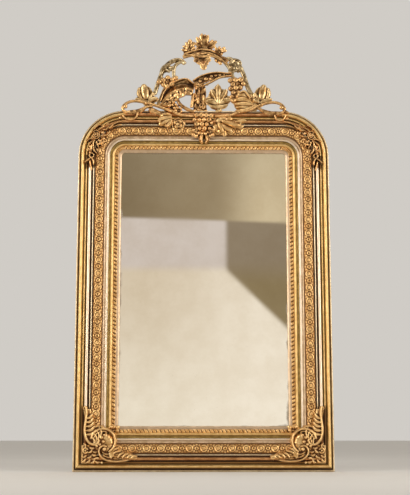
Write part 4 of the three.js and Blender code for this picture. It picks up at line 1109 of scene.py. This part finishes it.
def foot_parts():
    """Interlocking C-scrolls round a fluted boss, with leafy tails and a small diaper in the corner."""
    def scroll(points, radius=5.8, taper=0.0, top=57):
        return rod(points, radius, 20, top, steps=56, taper=taper)

    def finger(base, tip, width=12, top=54, bend=0.18):
        dx, dz = tip[0] - base[0], tip[1] - base[1]
        middle = ((base[0] + tip[0]) / 2 + bend * dz, (base[1] + tip[1]) / 2 - bend * dx)
        return leaf([base, middle, tip], width, 30, top, veins=0.5)

    def ground(points, half, top):
        return ribbon(points, lambda t: half + 0 * t, lambda t, s: top - 3 * s * s, level(22), 16, 7)

    parts = [
        scroll([(-415, 226), (-411, 204), (-413, 180), (-416, 155), (-416, 135), (-410, 113), (-398, 99),
            (-384, 94), (-371, 98), (-367, 108), (-374, 115)], 6.8),
        scroll(arc(-352, 106, 42.5, 172, -62, 16), 6.2),
        scroll(arc(-353, 107, 32.5, 168, 62, 8), 3.4, top=54),
        scroll([(-396, 128), (-389, 147), (-373, 157), (-352, 154)], 3.8, top=51),
        scroll([(-338, 86), (-350, 90), (-361, 84), (-366, 71), (-362, 57), (-350, 46), (-334, 39),
            (-310, 36), (-284, 37), (-262, 41)], 5.8, 0.35),
        scroll([(-354, 68), (-342, 61), (-327, 63), (-315, 73)], 3.4, top=54),
        scroll([(-348, 54), (-330, 50), (-312, 55)], 3.4, top=53),
        ground([(-398, 112), (-403, 170), (-410, 216)], 13, 48),
        ground([(-392, 100), (-380, 140), (-352, 150)], 12, 48),
        ground([(-350, 60), (-320, 56), (-280, 50)], 15, 48),
        leaf([(-346, 58), (-286, 56), (-232, 46)], 36, 28, 50, lobes=5, notch=0.12),
        broad_leaf(-350, 98, [(-350 + 33 * math.cos(a), 104 + 34 * math.sin(a), 15)
            for a in np.radians(range(-60, 260, 27))], 20, 57, core=0.92, teeth=0, lift=-4, vein=0.3,
            depth=0.07),
        broad_leaf(-318, 142, [(-296, 158, 26), (-297, 143, 24), (-312, 160, 24), (-328, 160, 26),
            (-330, 138, 34)], 15, 44, core=0.5),
        ball(-347, 78, 6.6, 53), rod(volute(-416, 219, 7, 6, 0.95), 2.6, 32, 50),
    ]
    parts += [finger((-384 + 7 * k, 92 + 8 * k), (-394 + 9 * k, 122 + 11 * k), 11, 55) for k in range(4)]
    parts += [finger((-411, z), (-390 + 3 * i, z + 17), 18, 55) for i,
        z in enumerate((184, 170, 156, 142, 128))]
    parts += [finger((-324, 46), tip, 13, 54, -0.2) for tip in ((-318, 78), (-307, 82), (-296, 84),
        (-287, 72))]
    parts += [finger((x, 48), (x + 22, z), 14, 53, -0.15) for x,
        z in ((-300, 66), (-284, 62), (-268, 57), (-254, 52))]
    parts += balls([(-374, 89, 4.6), (-363, 94, 4.6), (-351, 104, 5), (-358, 118, 5), (-347, 127, 4)], 52)
    parts.append(ribbon([(-402, 29), (-402, 92)], lambda t: 25 + 0 * t, level(45), level(28), 8, 5))
    corner = [((-390, 60), (-374, 58), 12), ((-424, 34), (-412, 46), 11), ((-408, 32), (-396, 44), 11),
        ((-392, 31), (-380, 42), 12), ((-424, 50), (-410, 58), 11), ((-406, 48), (-392, 56), 12),
        ((-413, 84), (-421, 99), 10), ((-402, 66), (-390, 76), 12), ((-388, 44), (-374, 50), 11),
        ((-398, 84), (-382, 82), 12), ((-386, 70), (-372, 70), 10), ((-378, 36), (-362, 34), 11)]
    parts += [finger(a, b, w, 52.5) for a, b, w in corner]
    parts += [rod(arc(-413, 73, 8.5, 20, 340, 12), 3.2, 40, 53),
        *balls([(-413, 73, 3.8), (-370, 47, 4.5), (-356, 32, 4.5)], 50)]
    return parts


def add_carvings():
    for name, node, parts, kind, grain in (
        ("foot", "foot_cartouche", foot_parts(), "leaf", 1.1),
        ("shoulder", "shoulder_spray", shoulder_parts(), "crest", 1.0),
    ):
        carve(f"{name}_ornament_left", parts, f"{node}_left", kind, grain)
        carve(f"{name}_ornament_right", mirrored(parts), f"{node}_right", kind, grain)
    for name, side, kind, parts in (
        ("trunk", "", "crest", trunk_parts()),
        ("arch", "_left", "silvery", arch_left_parts()),
        ("arch", "_right", "silvery", arch_right_parts()),
        ("horn", "", "crest", horn_parts()),
        ("shell", "", "crest", shell_parts()),
        ("grapes", "_left", "crest", bunch(GRAPES_LEFT, 9.8, 30)),
        ("grapes", "_right", "crest", bunch(GRAPES_RIGHT, 10.6, 31)),
        ("vine_leaf", "", "cream", vine_leaf_parts()),
        ("leaf", "_right", "leaf", leaf_right_parts()),
        ("top_leaf", "", "crest", top_leaf_parts()),
        ("side_leaf", "_left", "cream", side_leaf_parts(-1)),
        ("side_leaf", "_right", "cream", side_leaf_parts(1)),
        ("twig", "_left", "crest", twig_left_parts()),
        ("twig", "_right", "crest", twig_right_parts()),
        ("rose", "", "leaf", rose(-95, 1253)),
        ("low_leaf", "_left", "leaf", low_leaf_left_parts()),
        ("low_leaf", "_right", "leaf", low_leaf_right_parts()),
        ("drop", "", "crest", drop_parts()),
    ):
        carve(f"{name}_carving{side}", parts, f"crest_{name}{side}", kind, 1.0)


# ---- Back, plate and hangers ----
def paint(node, material):
    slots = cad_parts[node].data.materials
    slots.clear()
    slots.append(material)


def finish_carcass():
    for node in ("stile_left", "stile_right", "crest_batten"):
        paint(node, PINE_Z)
    for node in ("bottom_rail", "top_rail"):
        paint(node, PINE_X)
    for place in ("left", "centre", "right"):
        paint(f"backboard_{place}", BOARD)
    for place in ("left", "right", "bottom", "top"):
        paint(f"plate_wedge_{place}", WEDGE)
    paint("mirror_plate", PLATE)


def ring_points():
    half, bow, corner = 17.0, 14.0, 4.0
    points = [(-half, -corner), (-half, -bow)]
    points += [(half * math.cos(a), -bow + half * math.sin(a)) for a in np.pi * (1 + np.arange(1, 24) / 24)]
    points += [(half, -bow), (half, -corner), (half - 1.2, -1.2), (half - corner, 0), (0, 0),
        (-half + corner, 0), (-half + 1.2, -1.2)]
    return np.array(points)


def add_ring(side, mirror):
    wire, sides = 2.1, 14
    line = ring_points()
    ahead, behind = np.roll(line, -1, axis=0), np.roll(line, 1, axis=0)
    way = ahead - behind
    way /= np.linalg.norm(way, axis=1, keepdims=True)
    a = 2 * np.pi * np.arange(sides) / sides
    x = mirror * (HANGER_X + line[:, :1] - way[:, 1:] * wire * np.cos(a))
    z = HINGE_Z + line[:, 1:] + way[:, :1] * wire * np.cos(a)
    h = HINGE_HEIGHT - wire * np.sin(a) + 0 * x
    verts = np.stack([x, h, z], axis=2).reshape(-1, 3)
    add_piece(f"ring_wire_{side}", verts, strips(len(line), sides, closed=True), [BRASS],
              [f"hanging_ring_{side}"], body=f"{side}_ring", angle=50)


def add_strap(side, mirror):
    """A brass strap with a rounded foot, rolled at the top into the eye that holds the ring."""
    half, long, front_h, thick, ease = 11.0, 70.0, 9.7, 1.5, 0.35
    eye, bore, eye_half, eye_ease, steps = 4.0, 2.5, 8.0, 0.4, 28
    foot = HINGE_Z - long
    rows = [(foot, 4.0), (foot + 0.6, 7.0), (foot + 2.2, 9.4), (foot + 5, half)]
    rows += [(z, half) for z in np.linspace(foot + 8, HINGE_Z - 8, 14)]
    rows += [(HINGE_Z - 5, 9.6), (HINGE_Z - 3, eye_half), (HINGE_Z, eye_half)]
    rear_h = front_h - thick
    section = [(-1, ease, front_h), (-1, 0, front_h - ease), (-1, 0, rear_h + ease), (-1, ease, rear_h),
               (1, ease, rear_h), (1, 0, rear_h + ease), (1, 0, front_h - ease), (1, ease, front_h)]
    verts = [(HANGER_X + s * (w - inset), h, z) for z, w in rows for s, inset, h in section]
    faces = strips(len(rows), len(section)) + end_caps(len(rows), len(section))
    base = len(verts)
    for radius, rounding in ((eye, eye_ease), (bore, 0.0)):
        for along, r in ((-eye_half, radius - rounding), (-eye_half + eye_ease, radius),
                (eye_half - eye_ease, radius), (eye_half, radius - rounding)):
            verts += [(HANGER_X + along, HINGE_HEIGHT + a, HINGE_Z + b) for a,
                b in arc(0, 0, r, 0, 360, steps + 1)[:-1]]
    faces += strips(4, steps, base) + strips(4, steps, base + 4 * steps)
    for k in (0, 3):
        outer, inner = base + k * steps, base + (4 + k) * steps
        faces += [[outer + j, outer + (j + 1) % steps, inner + (j + 1) % steps, inner + j]
            for j in range(steps)]
    add_piece(f"strap_plate_{side}", np.array(verts) * [mirror, 1, 1], faces, [BRASS],
              [f"hanger_strap_{side}"], angle=40)


def add_screw(name, x, z, seat, node):
    """A slotted round head on a plain shank, its slot turned as a screwdriver left it."""
    turn, spokes = math.radians(25 + 37 * (z % 5)), 40
    way = [(math.cos(2 * math.pi * j / spokes), math.sin(2 * math.pi * j / spokes)) for j in range(spokes)]
    radii = [0, 0.25, 0.45, 0.55, 1.0, 1.8, 2.6, 3.3, 3.8, 4.0]
    shank = [(4.0, 0.0), (1.7, 0.0), (1.7, 7.0), (1.1, 8.2), (0.2, 9.0)]
    verts = []
    for r in radii:
        rise = 1.6 * math.sqrt(max(0.0, 1 - (r / 4.15) ** 2))
        for c, s in way:
            in_slot = abs(-r * c * math.sin(turn) + r * s * math.cos(turn)) < 0.5
            verts.append((x + r * c, seat - rise + (0.6 if in_slot else 0.0), z + r * s))
    for r, depth in shank:
        verts += [(x + r * c, seat + depth, z + r * s) for c, s in way]
    rows = len(radii) + len(shank)
    faces = strips(rows, spokes) + end_caps(rows, spokes)[1:]
    piece = add_piece(name, verts, faces, [IRON], [node], angle=30)
    work = bmesh.new()
    work.from_mesh(piece.data)
    bmesh.ops.remove_doubles(work, verts=work.verts, dist=1e-6)
    work.to_mesh(piece.data)
    work.free()


def add_nails():
    """Small cut nails that hold the boards in their rebate."""
    spots = [(x, z) for x in (-280, -170, -60, 60, 170, 280) for z in (126, 1184)]
    spots += [(side * 334, z) for side in (-1, 1) for z in (330, 560, 790, 1010)]
    rows, around = [(1.6, 0.72), (1.9, 0.5), (1.9, 0.25), (1.5, 0.08)], 8
    verts, faces = [], []
    for i, (x, z) in enumerate(spots):
        base = len(verts)
        faces += strips(len(rows), around, base)
        faces += [[base + k for k in cap] for cap in end_caps(len(rows), around)]
        ways = [0.4 * math.sin(3.1 * i) + math.pi * (k + 0.5) / 4 for k in range(around)]
        verts += [(x + half * math.cos(a) * 1.1, h, z + half * math.sin(a) * 0.9) for half,
            h in rows for a in ways]
    add_piece("board_nails", verts, faces, [IRON], [], angle=30)


def add_fittings():
    for side, mirror in (("left", -1), ("right", 1)):
        add_ring(side, mirror)
        add_strap(side, mirror)
        for place, drop in (("upper", 46), ("lower", 60)):
            add_screw(f"strap_fixing_{side}_{place}", mirror * HANGER_X, HINGE_Z - drop, 7.9,
                      f"strap_screw_{side}_{place}")
    for place, z in (("lower", 1225), ("middle", 1282), ("upper", 1370)):
        add_screw(f"batten_fixing_{place}", -13, z, 2.7, f"batten_screw_{place}")
    add_nails()


# ---- Stage and light ----
PALE_BACKGROUND = srgb(208, 204, 198)


def add_stage():
    """A wide round pale floor."""
    ground, wide = -0.0605, 40.0
    mesh = bpy.data.meshes.new("studio_floor")
    turns = np.linspace(0, 2 * np.pi, 72, endpoint=False)
    mesh.from_pydata([(wide * math.cos(a), wide * math.sin(a), ground) for a in turns], [], [list(range(72))])
    material, n, shader = new_material("pale_paper")
    cloud = n.noise(n.object_coords(), 1.5, 3.0)
    n.put(shader.inputs["Base Color"], n.mix(cloud, srgb(238, 235, 230), srgb(232, 229, 223)))
    shader.inputs["Roughness"].default_value = 0.9
    mesh.materials.append(material)
    floor = bpy.data.objects.new("studio_floor", mesh)
    SCENE.collection.objects.link(floor)


def add_lamp(name, place, size, power, colour):
    data = bpy.data.lights.new(name, "AREA")
    data.shape, data.size, data.size_y = "RECTANGLE", *size
    data.energy, data.color, data.spread = power, colour, math.radians(100)
    aim(bpy.data.objects.new(name, data), place, Vector((0.0, 0.0, 0.75)) - Vector(place))


def make_world():
    """A soft studio: pale behind the mirror, bright to both sides, and before it the room its glass shows.

    side and up are the slopes of a direction that leads away from the mirror's front.
    """
    world = bpy.data.worlds.new("studio")
    world.use_nodes = True
    SCENE.world = world
    n = Nodes(world.node_tree)

    def fade(tone, value, low, high, colour, most=1.0):
        return n.mix(n.ramp(value, low, high, 0.0, most), tone, colour)

    way = n.add("ShaderNodeSeparateXYZ", {"Vector": n.add("ShaderNodeTexCoord").outputs["Generated"]}).outputs
    forward = n.math("MAXIMUM", n.times(way["Y"], -1.0), 0.05)
    side, up = n.math("DIVIDE", way["X"], forward), n.math("DIVIDE", way["Z"], forward)
    beside = n.size(side)
    wall = fade(srgb(246, 238, 222), up, 0.0, 0.16, srgb(222, 208, 186))
    wall = fade(wall, side, -0.05, 0.08, srgb(254, 246, 232), 0.75)
    ceiling = fade(srgb(134, 118, 92), side, -0.08, 0.02, srgb(160, 144, 116))
    ceiling = fade(ceiling, side, 0.02, 0.075, srgb(216, 200, 168))
    ceiling = fade(ceiling, up, 0.19, 0.32, srgb(168, 156, 132), 0.4)
    shade = fade(srgb(146, 130, 98), up, 0.135, 0.165, srgb(150, 136, 116))
    tone = fade(wall, up, 0.148, 0.158, srgb(216, 206, 200))
    slope = n.plus(up, n.math("MULTIPLY_ADD", side, 0.97, -0.187))
    tone = n.mix(n.times(n.ramp(side, 0.033, 0.039), n.ramp(slope, -0.004, 0.004)), tone, shade)
    above = n.less(up, n.math("MULTIPLY_ADD", side, -0.03, 0.199))
    tone = fade(tone, above, -0.002, 0.002, ceiling)
    tone = fade(tone, beside, 0.14, 0.3, srgb(118, 104, 86))
    tone = fade(tone, up, 0.3, 0.5, srgb(104, 92, 76))
    tone = fade(tone, beside, 0.45, 0.8, srgb(240, 234, 226))
    tone = fade(tone, way["Z"], 0.4, 0.7, srgb(112, 102, 90))
    tone = fade(tone, way["Y"], -0.2, 0.05, PALE_BACKGROUND)
    background = world.node_tree.nodes["Background"].inputs
    n.put(background["Color"], tone)
    background["Strength"].default_value = 1.0


def light_scene():
    for name, x, z in (("key_left", -2.7, 1.5), ("key_right", 2.7, 1.4)):
        add_lamp(name, (x, -2.3, z), (0.9, 2.4), 16.5, (1.0, 0.97, 0.92))
    add_lamp("top_soft", (0.0, -2.4, 3.4), (1.2, 0.6), 4.2, (1.0, 0.98, 0.95))
    make_world()
    SCENE.view_settings.view_transform = "Standard"


make_camera()
add_stage()
light_scene()
add_mouldings()
add_carvings()
finish_carcass()
add_fittings()
